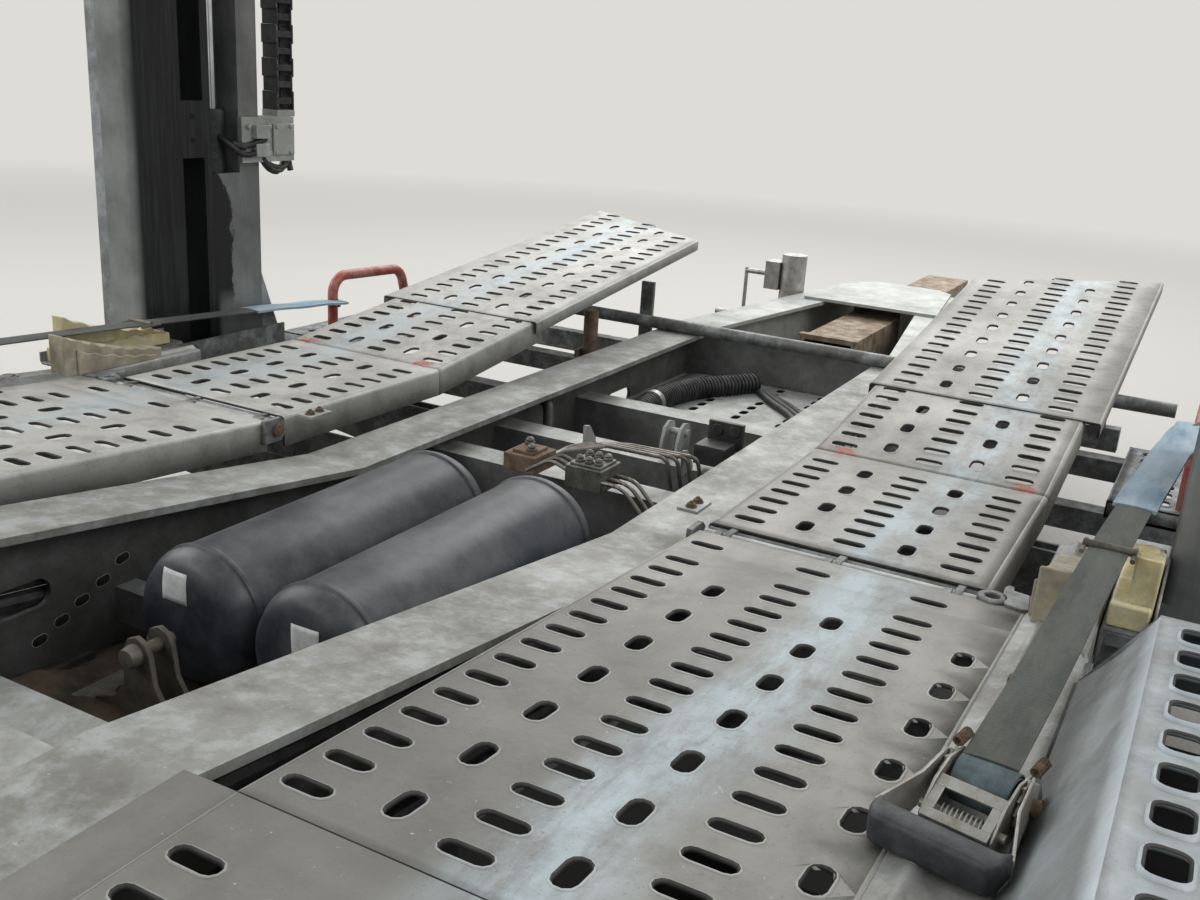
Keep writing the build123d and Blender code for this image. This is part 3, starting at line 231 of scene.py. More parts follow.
def put(name, shape, finish, host, replaces=None, bevel=0.0, thickness=0.0, angle=40.0, walls=None):
    """Makes the object, with its place in its mesh, and lets it ride on the body of its host node. A sheet's cut
    edges, its walls, can have a finish of their own."""
    mesh = bpy.data.meshes.new(name)
    mesh.from_pydata(shape.array().tolist(), [], shape.faces)
    mesh.attributes.new("wear", "FLOAT", "POINT").data.foreach_set(
        "value", np.concatenate(shape.wear).astype(np.float32))
    mesh.validate()
    mesh.update()
    mesh.shade_smooth()
    mesh.set_sharp_from_angle(angle=math.radians(angle))
    piece = bpy.data.objects.new(name, mesh)
    bpy.context.scene.collection.objects.link(piece)
    mesh.materials.append(FINISH[finish])
    if thickness:
        wall = piece.modifiers.new("Sheet thickness", "SOLIDIFY")
        wall.thickness = thickness
        wall.offset = -1.0
        if walls:
            mesh.materials.append(FINISH[walls])
            wall.material_offset_rim = 1
    if bevel:
        edge = piece.modifiers.new("Edge", "BEVEL")
        edge.width = bevel
        edge.segments = 2
        edge.limit_method = "ANGLE"
        edge.angle_limit = math.radians(50)
        edge.harden_normals = False
    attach(piece, BODY_OF[host])
    if replaces:
        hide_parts(replaces)


def put_sheets(rows, finish, thickness, **more):
    """Sheets for the left side, then their mirror images for the right. A row has a sheet's name, its left shape and
    its host node. The left sheet stands for that node, and the right one too where each side has a node of its own,
    written with {side}."""
    for word, side in SIDES:
        for name, left, host in rows:
            node = host.format(side=word)
            stands = side > 0 or node != host
            put(f"{name}_{word}", left if side > 0 else mirrored(left), finish, node,
                replaces=node if stands else None, thickness=thickness, **more)


# Slotted sheets --------------------------------------------------------------

# How one is finished: walls in its slots darkened by soil and as painted shade, and edges kept sharp from a small
# angle on
SLOTTED = {"walls": "slot_wall_dirt_and_shade", "angle": 27}


def obround(length, width, lengthwise, count):
    """The outline of a slot: two half circles joined by straight sides, counter-clockwise."""
    half = count // 2
    angle = np.concatenate([np.linspace(-90, 90, half), np.linspace(90, 270, half)]) * math.pi / 180
    shift = np.repeat([1.0, -1.0], half) * (length - width) / 2
    along, across = shift + width / 2 * np.cos(angle), width / 2 * np.sin(angle)
    return np.stack([along, across] if lengthwise else [-across, along], -1)


def round_cornered(length, width, lengthwise, count):
    """The outline of a hole whose four corners are arcs of a third of its width, counter-clockwise."""
    quarter, radius = count // 4, width * 0.34
    angle = np.radians(np.concatenate([np.linspace(start, start + 90, quarter) for start in (-90, 0, 90, 180)]))
    along = np.repeat([1, 1, -1, -1], quarter) * (length / 2 - radius) + radius * np.cos(angle)
    across = np.repeat([-1, 1, 1, -1], quarter) * (width / 2 - radius) + radius * np.sin(angle)
    return np.stack([along, across] if lengthwise else [-across, along], -1)


def between(outer, inner):
    """Triangles between two outlines round one centre: at each step the shorter of the two next diagonals is cut."""
    turn = np.arctan2(outer[0, 1], outer[0, 0]) - np.arctan2(inner[:, 1], inner[:, 0])
    start = int(np.argmin(np.abs(np.angle(np.exp(1j * turn)))))
    order = (np.arange(len(inner)) + start) % len(inner)
    i = j = 0
    faces = []
    while i < len(outer) or j < len(inner):
        o, next_o = i % len(outer), (i + 1) % len(outer)
        n, next_n = order[j % len(inner)], order[(j + 1) % len(inner)]
        shorter = np.linalg.norm(outer[next_o] - inner[n]) <= np.linalg.norm(outer[o] - inner[next_n])
        if j >= len(inner) or (i < len(outer) and shorter):
            faces.append((o, next_o, len(outer) + n))
            i += 1
        else:
            faces.append((o, len(outer) + next_n, len(outer) + n))
            j += 1
    return np.array(faces)


def slotted(x_marks, y_marks, bands, height, rim=0.0028, lift=0.0015, far_edge=None, near_lip=0.0, far_lip=0.0,
            bend=0.008, corners=12, outline=obround):
    """One sheet seen as a single surface. Marks are the borders of its cells along and across; a band row is
    (band, first cell, cells per slot, number of slots, slot length, slot width, lengthwise). Each slot's cell is
    filled between its border and a ring, then a second ring stands up by lift round the open hole. The side edges
    turn down through a bend of three steps to a lip."""
    x_marks, y_marks = np.asarray(x_marks, float), np.asarray(y_marks, float)
    nx, ny = len(x_marks), len(y_marks)
    xs = np.repeat(x_marks[:, None], ny, 1)
    last = np.full(ny, nx - 1)
    if far_edge is not None:
        reach = far_edge(y_marks)
        for j in range(ny):
            last[j] = int(np.searchsorted(x_marks, reach[j] - 0.012))
            xs[last[j]:, j] = reach[j]
    ys = np.repeat(y_marks[None], nx, 0)
    index = np.arange(nx * ny).reshape(nx, ny)
    points = [np.stack([xs.ravel(), ys.ravel()], -1)]
    lifts, wear = [np.zeros(nx * ny)], [np.zeros(nx * ny)]
    total, faces = nx * ny, []
    taken = np.zeros((nx - 1, ny - 1), bool)
    for band, first, span, number, length, width, lengthwise in bands:
        starts = first + span * np.arange(number)
        low = min(last[band], last[band + 1])
        starts = starts[starts + span <= low]
        if not len(starts):
            continue
        taken[(starts[:, None] + np.arange(span)).ravel(), band] = True
        border = np.concatenate([index[starts[:, None] + np.arange(span + 1), band],
                                 index[starts[:, None] + np.arange(span, -1, -1), band + 1]], 1)
        centre = np.stack([(x_marks[starts] + x_marks[starts + span]) / 2,
                           np.full(len(starts), (y_marks[band] + y_marks[band + 1]) / 2)], -1)
        outer = outline(length + 2 * rim, width + 2 * rim, lengthwise, corners)
        inner = outline(length, width, lengthwise, corners)
        size = len(outer)
        flat = points[0][border[0]] - centre[0]
        template = between(flat, outer)
        base = total + np.arange(len(starts))[:, None] * 2 * size
        rings = base + np.arange(2 * size)
        points.append((centre[:, None] + np.vstack([outer, inner])[None]).reshape(-1, 2))
        lifts.append(np.tile(np.repeat([0.0, lift], size), len(starts)))
        wear.append(np.tile(np.repeat([0.25, 1.0], size), len(starts)))
        total += len(starts) * 2 * size
        corner = np.concatenate([border, rings[:, :size]], 1)
        faces.extend(corner[:, template].reshape(-1, 3).tolist())
        ring = np.arange(size)
        quad = np.stack([ring, np.roll(ring, -1), np.roll(ring, -1) + size, ring + size], -1)
        faces.extend(rings[:, quad].reshape(-1, 4).tolist())
    for band in range(ny - 1):
        low, high = min(last[band], last[band + 1]), max(last[band], last[band + 1])
        free = np.flatnonzero(~taken[:low, band])
        faces.extend(np.stack([index[free, band], index[free + 1, band], index[free + 1, band + 1],
                               index[free, band + 1]], -1).tolist())
        if far_edge is not None and high > low:
            near = [index[k, band] for k in range(low, last[band] + 1)]
            far = [index[k, band + 1] for k in range(low, last[band + 1] + 1)]
            faces.append([int(v) for v in near + far[::-1]])
    flat = np.vstack(points)
    z = height(flat[:, 0]) + np.concatenate(lifts)
    shape = Shape()
    shape.add(np.column_stack([flat, z]), faces, np.concatenate(wear))
    for lip, j, sign in ((near_lip, 0, -1), (far_lip, ny - 1, 1)):
        if lip:
            angle = np.radians([0, 22, 45, 68, 90, 90])
            out, down = bend * np.sin(angle), bend * (1 - np.cos(angle))
            down[-1] = lip
            rows = []
            for o, d in zip(out, down):
                x = xs[: last[j] + 1, j]
                rows.append(np.column_stack([x, np.full(len(x), y_marks[j] + sign * o), height(x) - d]))
            rows = np.stack(rows)
            edge = grid(rows if sign > 0 else rows[::-1])
            worn = np.repeat([0.15, 0.7, 0.8, 0.5, 0.1, 0.0][:: 1 if sign > 0 else -1], rows.shape[1])
            shape.add(edge.array(), [face[::-1] for face in edge.faces], worn)
    return shape


# Slots across the track, slots along it, and the outer row
ACROSS = (0.0530, 0.0215, False)
ALONG = (0.0490, 0.0250, True)


def track_section(x0, x1, first, pitch, count, start_along, y_marks, height, rows, **lips):
    """One sheet between two places: plain ends, and rows of count slots at a pitch from first on. The slots along
    the track are two cells long, from the cell start_along on."""
    marks = first + pitch * np.arange(count + 1)
    x_marks = np.concatenate([[x0], marks, [x1]])
    bands = []
    pairs = (count - start_along) // 2
    for band, kind in enumerate(rows):
        if kind == "across":
            bands.append((band, 1, 1, count, *ACROSS))
        elif kind == "along":
            bands.append((band, 1 + start_along, 2, pairs, *ALONG))
    return slotted(x_marks, y_marks, bands, height, **lips)


def on_line(line):
    """The height over x of a surface that follows a line of (x, z) corners."""
    xs, zs = zip(*line)
    return lambda x: np.interp(x, xs, zs)


def level(z):
    """The height over x of a level surface."""
    return lambda x: np.full(np.shape(x), z)


# Borders of the rows of slots across a track, and each row's kind
ROW_MARKS = [0.460, 0.530, 0.628, 0.693, 0.794, 0.860]
ROWS = [None, "across", "along", "across", "along", "across"]


def lower_sheets():
    """The left fixed track: five sheets and a narrow front one, with an outer row of slots beside the three pairs of
    rows. Behind the tanks its inner edge laps the rail."""
    height = on_line(DECK_LINE)
    marks = [TRACK_INNER] + [y - 0.004 for y in ROW_MARKS] + [0.874, TRACK_OUTER]
    rows = ROWS + [None, "along"]
    lips = {"near_lip": 0.060, "far_lip": 0.012}
    whole = Shape()
    # rear end, front end, first slot, slots in a row, first cell of the slots along the track
    for x0, x1, first, count, start in ((-0.099, 0.784, -0.087, 15, 0), (-1.074, -0.101, -1.050, 16, 0),
                                        (-2.049, -1.076, -2.030, 16, 0), (-3.449, -2.051, -3.420, 24, 0),
                                        (-4.680, -3.451, -4.640, 21, 1)):
        whole.join(track_section(x0, x1, first, SLOT_PITCH, count, start, marks, height, rows, **lips))
    xs = np.array(deck_marks(-4.680, -0.0995, DECK_LINE))
    lap = [np.column_stack([xs, np.full(len(xs), y), height(xs) - below])
           for y, below in ((0.3870, 0.0022), (0.4300, 0.0014), (0.4540, 0.0010))]
    whole.join(grid(np.stack(lap, 1)))
    front = [(band, 1, 1, 1, *ACROSS) for band in (1, 3, 5)]
    return whole.join(slotted([0.784, 0.7845, 0.8403, 0.878], marks, front, height, **lips))


def ramp_sheets():
    """The left front ramp: two slotted sheets, then the wider cover with its slanted front edge."""
    height = on_line(RAMP_LINE)
    marks = [TRACK_INNER] + ROW_MARKS + [0.879]
    shared = (marks, height, ROWS + [None])
    whole = track_section(0.926, 1.4295, 0.9475, 0.0545, 8, 0, *shared, near_lip=0.06, far_lip=0.06)
    whole.join(track_section(1.4305, 1.850, 1.4445, 0.0570, 7, 0, *shared, near_lip=0.06, far_lip=0.06))
    cover = [0.4385] + [y + 0.006 for y in ROW_MARKS] + [0.915]
    edge = lambda y: np.interp(y, (0.437, 0.916), (2.808, 3.030))
    marks_x = np.concatenate([[1.829], 1.842 + 0.058 * np.arange(22)])
    bands = [(band, 1, 1, 21, *ACROSS) for band in (1, 3, 5)] + [(band, 1, 2, 10, *ALONG) for band in (2, 4)]
    return whole.join(slotted(marks_x, cover, bands, lambda x: height(x) + 0.0025, far_edge=edge, near_lip=0.03,
                              far_lip=0.03, bend=0.005))


def upper_sheets():
    """The upper deck's left track: plain joints over the crossbeams, slots between them."""
    marks = [TRACK_INNER] + ROW_MARKS + [0.952]
    ends = [-4.350, -3.250, -2.200, -1.100, 0.000, 1.100, 2.150, 3.160]
    whole = Shape()
    for x0, x1 in zip(ends, ends[1:]):
        count = int((x1 - x0 - 0.06) / SLOT_PITCH)
        first = (x0 + x1 - count * SLOT_PITCH) / 2
        whole.join(track_section(x0 + 0.001, x1 - 0.001, first, SLOT_PITCH, count, 0, marks, level(UPPER_TOP),
                                 ROWS + [None], near_lip=0.09, far_lip=0.09))
    return whole


# Pieces beside and on the decks -------------------------------------------------

def carried(xs, profile, height):
    """A section of (y, z above the deck) rows carried along x on the deck's line. It runs clockwise with y to the
    right and z up, so its faces point outwards."""
    xs, profile = np.asarray(xs, float)[:, None], np.asarray(profile, float)
    rows = np.broadcast_arrays(xs, profile[:, 0], height(xs) + profile[:, 1])
    return grid(np.stack(rows, -1))


def deck_marks(start, stop, line):
    """Where a piece on the deck has to bend: its two ends and the line's corners between them."""
    return [start] + [corner[0] for corner in line if start < corner[0] < stop] + [stop]


def sill_shape():
    """The left sill beside the track: a pressed plank with one rolled ridge along it, a shallow hollow, and a side
    lip."""
    profile = [(0.941, -0.060), (0.941, -0.004), (0.9435, 0.0005), (0.956, 0.002), (0.961, 0.0055), (0.965, 0.0075),
               (0.969, 0.0075), (0.973, 0.0055), (0.978, 0.0005), (0.986, -0.002), (1.004, -0.003), (1.020, -0.002),
               (1.027, 0.001), (1.032, 0.000), (1.0345, -0.004), (1.0345, -0.085)]
    return carried(deck_marks(-4.600, 1.190, DECK_LINE), profile, on_line(DECK_LINE))


def sill_hardware():
    """Small square bolts along both sills, and black discs in rolled rims at their two front holes, which paint the
    shade in the holes.
    """
    height = on_line(DECK_LINE)
    heads, rims, plugs = [], Shape(), Shape()
    for x in np.arange(-4.527, 0.70, 0.427):
        z = float(height(x))
        heads.append((x - 0.0075, x + 0.0075, 0.9655, 0.9805, z + 0.003, z + 0.014))
    for x, y in ((0.722, 0.990), (0.760, 1.0195)):
        z = float(height(x)) - 0.0025
        rim = [(-0.001, 0.0185), (0.0035, 0.0165), (0.0035, 0.0135), (-0.001, 0.0125)]
        rims.join(turned(rim, (x, y, z), "z", 18))
        plugs.join(turned([(-0.0015, 0.0130), (-0.0005, 0.0120)], (x, y, z + 0.001), "z", 18))
    return both(blocks(heads)), both(rims), both(plugs)


def chock_tray():
    """The shelf outside the front end of each sill: a folded sheet with a lip at its outer edge, on which the outer
    chock stands."""
    profile = [(1.0365, -0.055), (1.0365, -0.006), (1.0400, 0.0), (1.0945, 0.0), (1.0985, 0.004), (1.0985, 0.022)]
    return both(carried([0.894, 1.228], profile, level(HINGE_Z)))


def guard_sheets():
    """The left guard over the wheels: a slanted face, a flat top with two rows of rounded squares whose rims stand
    up, and a skirt. The front end leans back at the top, as the slanted face runs to its apex."""
    height = on_line(DECK_LINE)
    start, stop, lean, pitch = -2.700, 0.603, 0.072, 0.0705
    border = 0.050 - pitch / 2                                    # the photograph shows a hole's middle at x 0.050
    first = border - pitch * math.floor((border - start - 0.01) / pitch)
    marks = first + pitch * np.arange(int((stop - start - 0.05) / pitch) + 1)
    marks = marks[marks < stop - 0.01]
    x_marks = np.concatenate([[start], marks, [stop]])
    y_marks = [GUARD_TOP_INNER, 1.124, 1.166, 1.216, 1.258, GUARD_OUTER]
    bands = [(band, 1, 1, len(marks) - 1, 0.045, 0.032, True) for band in (1, 3)]
    whole = slotted(x_marks, y_marks, bands, lambda x: height(x) + GUARD_RISE, rim=0.0034, lift=0.0040,
                    far_lip=GUARD_SKIRT, bend=0.006, corners=20, outline=round_cornered)
    rows = []
    for t in np.linspace(0, 1, 5):
        out = t * (GUARD_TOP_INNER - GUARD_FOOT) + 0.004 * math.sin(math.pi * t)
        xs = np.array(deck_marks(start, stop + lean * (1 - t), DECK_LINE))
        rows.append(np.column_stack([xs, np.full(len(xs), GUARD_FOOT + out), height(xs) + t * GUARD_RISE]))
    slope = grid(np.stack(rows, 1))
    whole.add(slope.array(), slope.faces, np.tile([0.2, 0.0, 0.0, 0.2, 1.0], len(rows[0])))
    section = ((GUARD_FOOT, 0.0), (GUARD_TOP_INNER, GUARD_RISE), (GUARD_OUTER, GUARD_RISE),
               (GUARD_OUTER, GUARD_RISE - GUARD_SKIRT))
    nose = [(x, y, float(height(x)) + z) for x, (y, z) in zip((stop + lean, stop, stop, stop), section)]
    tail = [(start, y, float(height(start)) + z) for y, z in section]
    whole.add(nose, [[3, 2, 1, 0]], [0.4, 0.9, 0.6, 0.3])
    return whole.add(tail, [[0, 1, 2, 3]], [0.2, 0.8, 0.6, 0.3])


def guard_bolts():
    """Round heads along the skirt of each guard."""
    height = on_line(DECK_LINE)
    shape = Shape()
    for x in np.arange(-2.60, 0.60, 0.40):
        z = float(height(x))
        shape.join(turned([(0.0, 0.012), (0.004, 0.011), (0.007, 0.006)], (x, GUARD_OUTER, z + 0.095), "y", 12))
    return both(shape)


def wheel_liner():
    """The moulded wing under each guard: a flat black sheet with its edges turned down, so the holes look into the
    dark; its finish is darker than the other black plastic as painted shade."""
    height = on_line(DECK_LINE)
    xs = np.array(deck_marks(-2.60, 0.52, DECK_LINE))
    profile = [(1.0500, -0.040), (1.0640, -0.002), (1.0800, 0.006), (1.2500, 0.006), (1.2660, 0.000),
               (1.2680, -0.040)]
    return both(carried(xs, profile, lambda x: height(x) + 0.010))


def step_sheets():
    """The left tread in front of the post: four rows of slots with raised rims, folded down on all edges."""
    rear, front, top, fold = 1.790, 2.245, 0.760, 0.036
    y_marks = [0.964, 0.984, 1.024, 1.044, 1.084, 1.104, 1.144, 1.164, 1.204, 1.251]
    whole = slotted(np.concatenate([[rear], 1.812 + 0.0585 * np.arange(8), [front]]), y_marks,
                    [(band, 1, 1, 7, 0.034, 0.024, True) for band in (1, 3, 5, 7)], level(top), rim=0.003,
                    lift=0.003, near_lip=fold, far_lip=fold, bend=0.004)
    for x, turn in ((rear, 1), (front, -1)):
        points = np.array([[(x, y, top), (x, y, top - fold)] for y in (0.960, 1.255)])
        whole.join(grid(points[::turn]))
    return whole


def hinge_line():
    """The left hinge line: rolled bars on both edges, plates about the pin on either side, a square end boss, and an
    eye and a hook on the track's side. Returns the track's pieces and the ramp's."""
    fixed, left = Shape(), Shape()
    for y in (0.470, 0.648, 0.826):
        plate = [(0.870, 0.830), (0.900, 0.8290), (0.9100, 0.834), (0.9150, 0.846), (0.9100, 0.8560), (0.900, 0.8600),
                 (0.870, 0.858)]
        fixed.join(prism(plate, -(y + 0.012), -y, "xz"))
        other = [(2 * HINGE_X - x, z) for x, z in plate][::-1]
        left.join(prism(other, -(y + 0.0265), -(y + 0.0145), "xz"))
    fixed.join(tube([(0.8805, 0.449, 0.8500), (0.8805, 0.938, 0.8500)], 0.0070, sides=12))
    left.join(tube([(0.9215, 0.449, 0.8480), (0.9215, 0.883, 0.8480)], 0.0070, sides=12))
    boss = [(0.862, 0.820), (0.905, 0.820), (0.915, 0.830), (0.915, 0.856), (0.905, 0.866), (0.862, 0.866)]
    fixed.join(prism(boss, -0.4445, -0.434, "xz"))
    eye = turned([(-0.006, 0.0195), (-0.0045, 0.0215), (0.0045, 0.0215), (0.006, 0.0195), (0.006, 0.0120),
                  (0.0045, 0.0105), (-0.0045, 0.0105), (-0.006, 0.0120)], (0.897, 0.893, 0.8600), "z", 20)
    fixed.join(grid(eye.array().reshape(8, 20, 3), close_u=True, close_v=True))
    hook = [(0.904, 0.905), (0.940, 0.902), (0.950, 0.906), (0.948, 0.914), (0.934, 0.916), (0.930, 0.938),
            (0.878, 0.946), (0.872, 0.936), (0.880, 0.912), (0.904, 0.908)]
    fixed.join(prism(hook, 0.8560, 0.8660, "xy"))
    return fixed, left


def ramp_legs():
    """The tube leg with a forked foot that stands beside the support under each ramp."""
    place = (2.243, 0.500, 0.0)
    leg = tube([(0, 0, 0.735), (0, 0, 0.868)], 0.021, sides=16)
    leg.join(blocks([(-0.030, 0.030, -0.033, -0.024, 0.700, 0.752), (-0.030, 0.030, 0.024, 0.033, 0.700, 0.752),
                     (-0.010, 0.010, -0.024, 0.024, 0.712, 0.735)]))
    return both(Shape().join(leg, place))


# Chocks, straps and ratchets ----------------------------------------------------

def ribbed_chock(x, y0, y1, z, rear, front, length, ribs):
    """A moulded chock: its back is high and its front low; the running face is hollowed by a quarter wave, and
    ribs stand on it as steps of a profile carried across."""
    t = np.linspace(0, 1, 4 * ribs + 1)
    line = front + (rear - front) * (1 - t) ** 1.6
    steps = 0.0035 * (np.arange(len(t)) % 4 < 2)
    face = np.column_stack([x + length * t, z + line + steps])
    body = [(x + length, z), (x, z), (x, z + rear * 0.9)]
    outline = np.vstack([body, face[:-1], [(x + length, z + front)]])
    return prism(outline[::-1], -y1, -y0, "xz")


def chocks():
    """On each side an inner chock of two moulded blocks, and an outer one: a low holder, the chock on it and the boss
    at its side."""
    inner = ribbed_chock(0.838, 0.953, 0.996, 0.8615, 0.084, 0.022, 0.252, 7)
    inner.join(ribbed_chock(0.868, 0.946, 0.953, 0.8615, 0.052, 0.012, 0.200, 5))
    outer = ribbed_chock(0.905, 1.042, 1.094, 0.8605, 0.030, 0.026, 0.290, 6)
    outer.join(ribbed_chock(0.925, 1.062, 1.0955, 0.8605, 0.096, 0.034, 0.230, 5))
    outer.join(turned([(0.0, 0.017), (0.010, 0.0165), (0.012, 0.010)], (1.150, 1.070, 0.888), "z", 16))
    return both(inner), both(outer)


def strap_route():
    """Where a strap's middle line runs from the ratchet's spool forward to the hoop."""
    return np.array([(0.268, 0.9995, 0.9680), (0.46, 1.009, 0.9660), (0.66, 1.017, 0.9650), (0.93, 1.028, 0.9620),
                     (1.18, 1.041, 0.9570), (1.59, 1.066, 0.9455), (1.842, 1.0865, 0.9330)])


def smoothed(points, count):
    """A Catmull-Rom line through the points, read at evenly spaced parameters."""
    points = np.asarray(points, float)
    padded = np.vstack([2 * points[0] - points[1], points, 2 * points[-1] - points[-2]])
    u = np.linspace(0, len(points) - 1 - 1e-9, count)
    k = u.astype(int)
    t = (u - k)[:, None]
    a, b, c, d = (padded[k + i] for i in range(4))
    return 0.5 * (2 * b + (c - a) * t + (2 * a - 5 * b + 4 * c - d) * t ** 2 + (3 * b - a - 3 * c + d) * t ** 3)


def band_section(width, thick, crown):
    """A flat band's section, counter-clockwise: rounded edges, and a middle that is crown higher."""
    v = np.linspace(-1, 1, 9)
    upper = np.column_stack([-v * width / 2, thick / 2 + crown * (1 - v ** 2)])
    lower = np.column_stack([v * width / 2, -thick / 2 + crown * (1 - v ** 2)])
    return np.vstack([upper, lower])


def straps(side, drop, joint):
    """The webbing from the ratchet's spool to the hoop, its sleeve on the front part, and the buckle at the joint.
    The left strap lies lower at its front end, by drop."""
    route = strap_route()
    route[:, 2] -= drop * (route[:, 0] - route[0, 0]) / (route[-1, 0] - route[0, 0])
    line = smoothed(route, 60)
    webbing = sweep(line[: joint + 6], band_section(0.050, 0.0028, 0.0012))
    sleeve = line[joint:]
    wave = 0.0012 * np.sin(np.arange(len(sleeve)) * 0.9)
    sleeve = sweep(sleeve + np.column_stack([0 * wave, 0 * wave, wave]), band_section(0.062, 0.0055, 0.0020))
    middle, end = line[joint - 9], line[-1]
    buckle = tube([middle + (0, -0.034, 0.004), middle + (0, 0.034, 0.004)], 0.0060, sides=12)
    for s in (-1, 1):
        buckle.join(tube([middle + (-0.026, s * 0.032, 0.000), middle + (0.026, s * 0.032, 0.000)], 0.0035, sides=8))
    buckle.join(tube([end + (-0.022, 0, 0.001), end + (0.004, 0.012, 0.0045), end + (0.0115, 0.012, -0.018)], 0.0055,
                     0.012, 8))
    return [shape if side > 0 else mirrored(shape) for shape in (webbing, sleeve, buckle)]


def ratchet_shapes():
    """One ratchet: two cheeks with pawl notches, a spool wound with webbing, a frame with a window, the handle's arms
    and its thick grip whose ends turn forward, tight springs, and a rod end under the grip."""
    x, y, z = 0.262, 1.000, 0.9155
    plates, dark, spool, rusty = Shape(), Shape(), Shape(), Shape()
    cheek = [(x - 0.060, z - 0.004), (x + 0.052, z - 0.004), (x + 0.060, z + 0.008), (x + 0.046, z + 0.032),
             (x + 0.020, z + 0.050), (x - 0.012, z + 0.054), (x - 0.040, z + 0.044), (x - 0.064, z + 0.020)]
    arm = [(x - 0.092, z + 0.012), (x - 0.050, z + 0.006), (x - 0.008, z + 0.016), (x + 0.018, z + 0.026),
           (x + 0.018, z + 0.044), (x - 0.004, z + 0.056), (x - 0.040, z + 0.046), (x - 0.092, z + 0.034)]
    teeth, axle = 12, z + 0.030
    sheet = lambda outline, middle, half: prism(outline, -(middle + half), -(middle - half), "xz")
    for s in (-1, 1):
        plates.join(sheet(cheek, y + s * 0.0325, 0.0013))
        flare = sheet(arm, y + s * 0.0400, 0.0013)
        points = flare.array()
        points[:, 1] += s * 0.022 * np.clip((x - 0.020 - points[:, 0]) / 0.072, 0, 1) ** 1.2
        plates.add(points, flare.faces)
        angle = np.repeat(np.linspace(0, 2 * math.pi, teeth, endpoint=False), 2)
        radius = np.tile([0.0255, 0.0195], teeth)
        angle[1::2] += 0.10
        wheel = np.column_stack([x + radius * np.cos(angle), axle + radius * np.sin(angle)])
        plates.join(sheet(wheel, y + s * 0.0363, 0.0015))
        rusty.join(turned([(s * 0.0420, 0.0085), (s * 0.0480, 0.0080), (s * 0.0510, 0.0040)][::s],
                          (x, y, axle), "y", 12))
        rusty.join(turned([(s * 0.0420, 0.0070), (s * 0.0470, 0.0066), (s * 0.0490, 0.0035)][::s],
                          (x + 0.036, y, z + 0.012), "y", 6))
        turns = np.linspace(0, 2 * math.pi * 7, 85)               # seven turns of the springs at the handle
        coil = np.column_stack([x + 0.012 + 0.026 * turns / turns[-1], y + s * 0.0365 + 0.0046 * np.cos(turns),
                                z + 0.056 + 0.0046 * np.sin(turns)])
        rusty.join(sweep(coil, circle(0.0012, 5)))
    for dx, dz, r in ((0.036, 0.012, 0.0050), (-0.046, 0.018, 0.0048)):
        plates.join(tube([(x + dx, y - 0.040, z + dz), (x + dx, y + 0.040, z + dz)], r, sides=10))
    window = blocks([(*bar, -0.0015, 0.0015) for bar in (
        (-0.006, 0.006, -0.031, 0.031), (-0.040, -0.030, -0.031, 0.031), (-0.030, -0.006, -0.031, -0.022),
        (-0.030, -0.006, 0.022, 0.031))])
    plates.join(turn_about(window, "Y", -0.50), (x - 0.034, y, z + 0.041))
    coil = np.linspace(0, 2 * math.pi * 9, 109)                   # nine turns of the pawl's spring
    line = np.column_stack([x - 0.046 + 0.0075 * np.cos(coil), y - 0.020 + 0.040 * coil / coil[-1],
                            z + 0.018 + 0.0075 * np.sin(coil)])
    plates.join(sweep(line, circle(0.0012, 5)))
    turn = np.linspace(0, 2 * math.pi * 2.25, 60)
    radius = 0.0150 + 0.0036 * turn / (2 * math.pi)
    roll = np.column_stack([x + radius * np.cos(-turn), np.full(len(turn), y), axle + radius * np.sin(-turn)])
    edge = np.stack([roll + (0, -0.0265, 0), roll + (0, 0.0265, 0)], 1)
    spool.join(grid(edge[:, ::-1]))
    grip = []
    for a in np.sin(np.linspace(-1, 1, 25) * math.pi / 2):
        swell = max((1 - abs(a) ** 20) ** 0.4, 0.45)
        ring = circle(1.0, 20)
        ring = np.sign(ring) * np.abs(ring) ** 0.42 * (0.0155 * swell, 0.0155 * swell)
        bow = 0.012 * max(abs(a) - 0.84, 0.0) / 0.16
        grip.append(np.column_stack([x - 0.106 + ring[:, 0] + bow, np.full(20, y + a * 0.062),
                                     z + 0.022 + ring[:, 1] + 0.25 * bow]))
    dark.join(grid(np.stack(grip), close_v=True, caps=True))
    plates.join(tube([(x - 0.094, y - 0.004, z + 0.000), (x - 0.172, y - 0.010, z - 0.003)], 0.0085, sides=14))
    return [turn_about(shape, "Z", 0.20, (x, y, z)) for shape in (plates, dark, spool, rusty)]


# Tanks, valves, pipes and hoses between the rails -----------------------------------

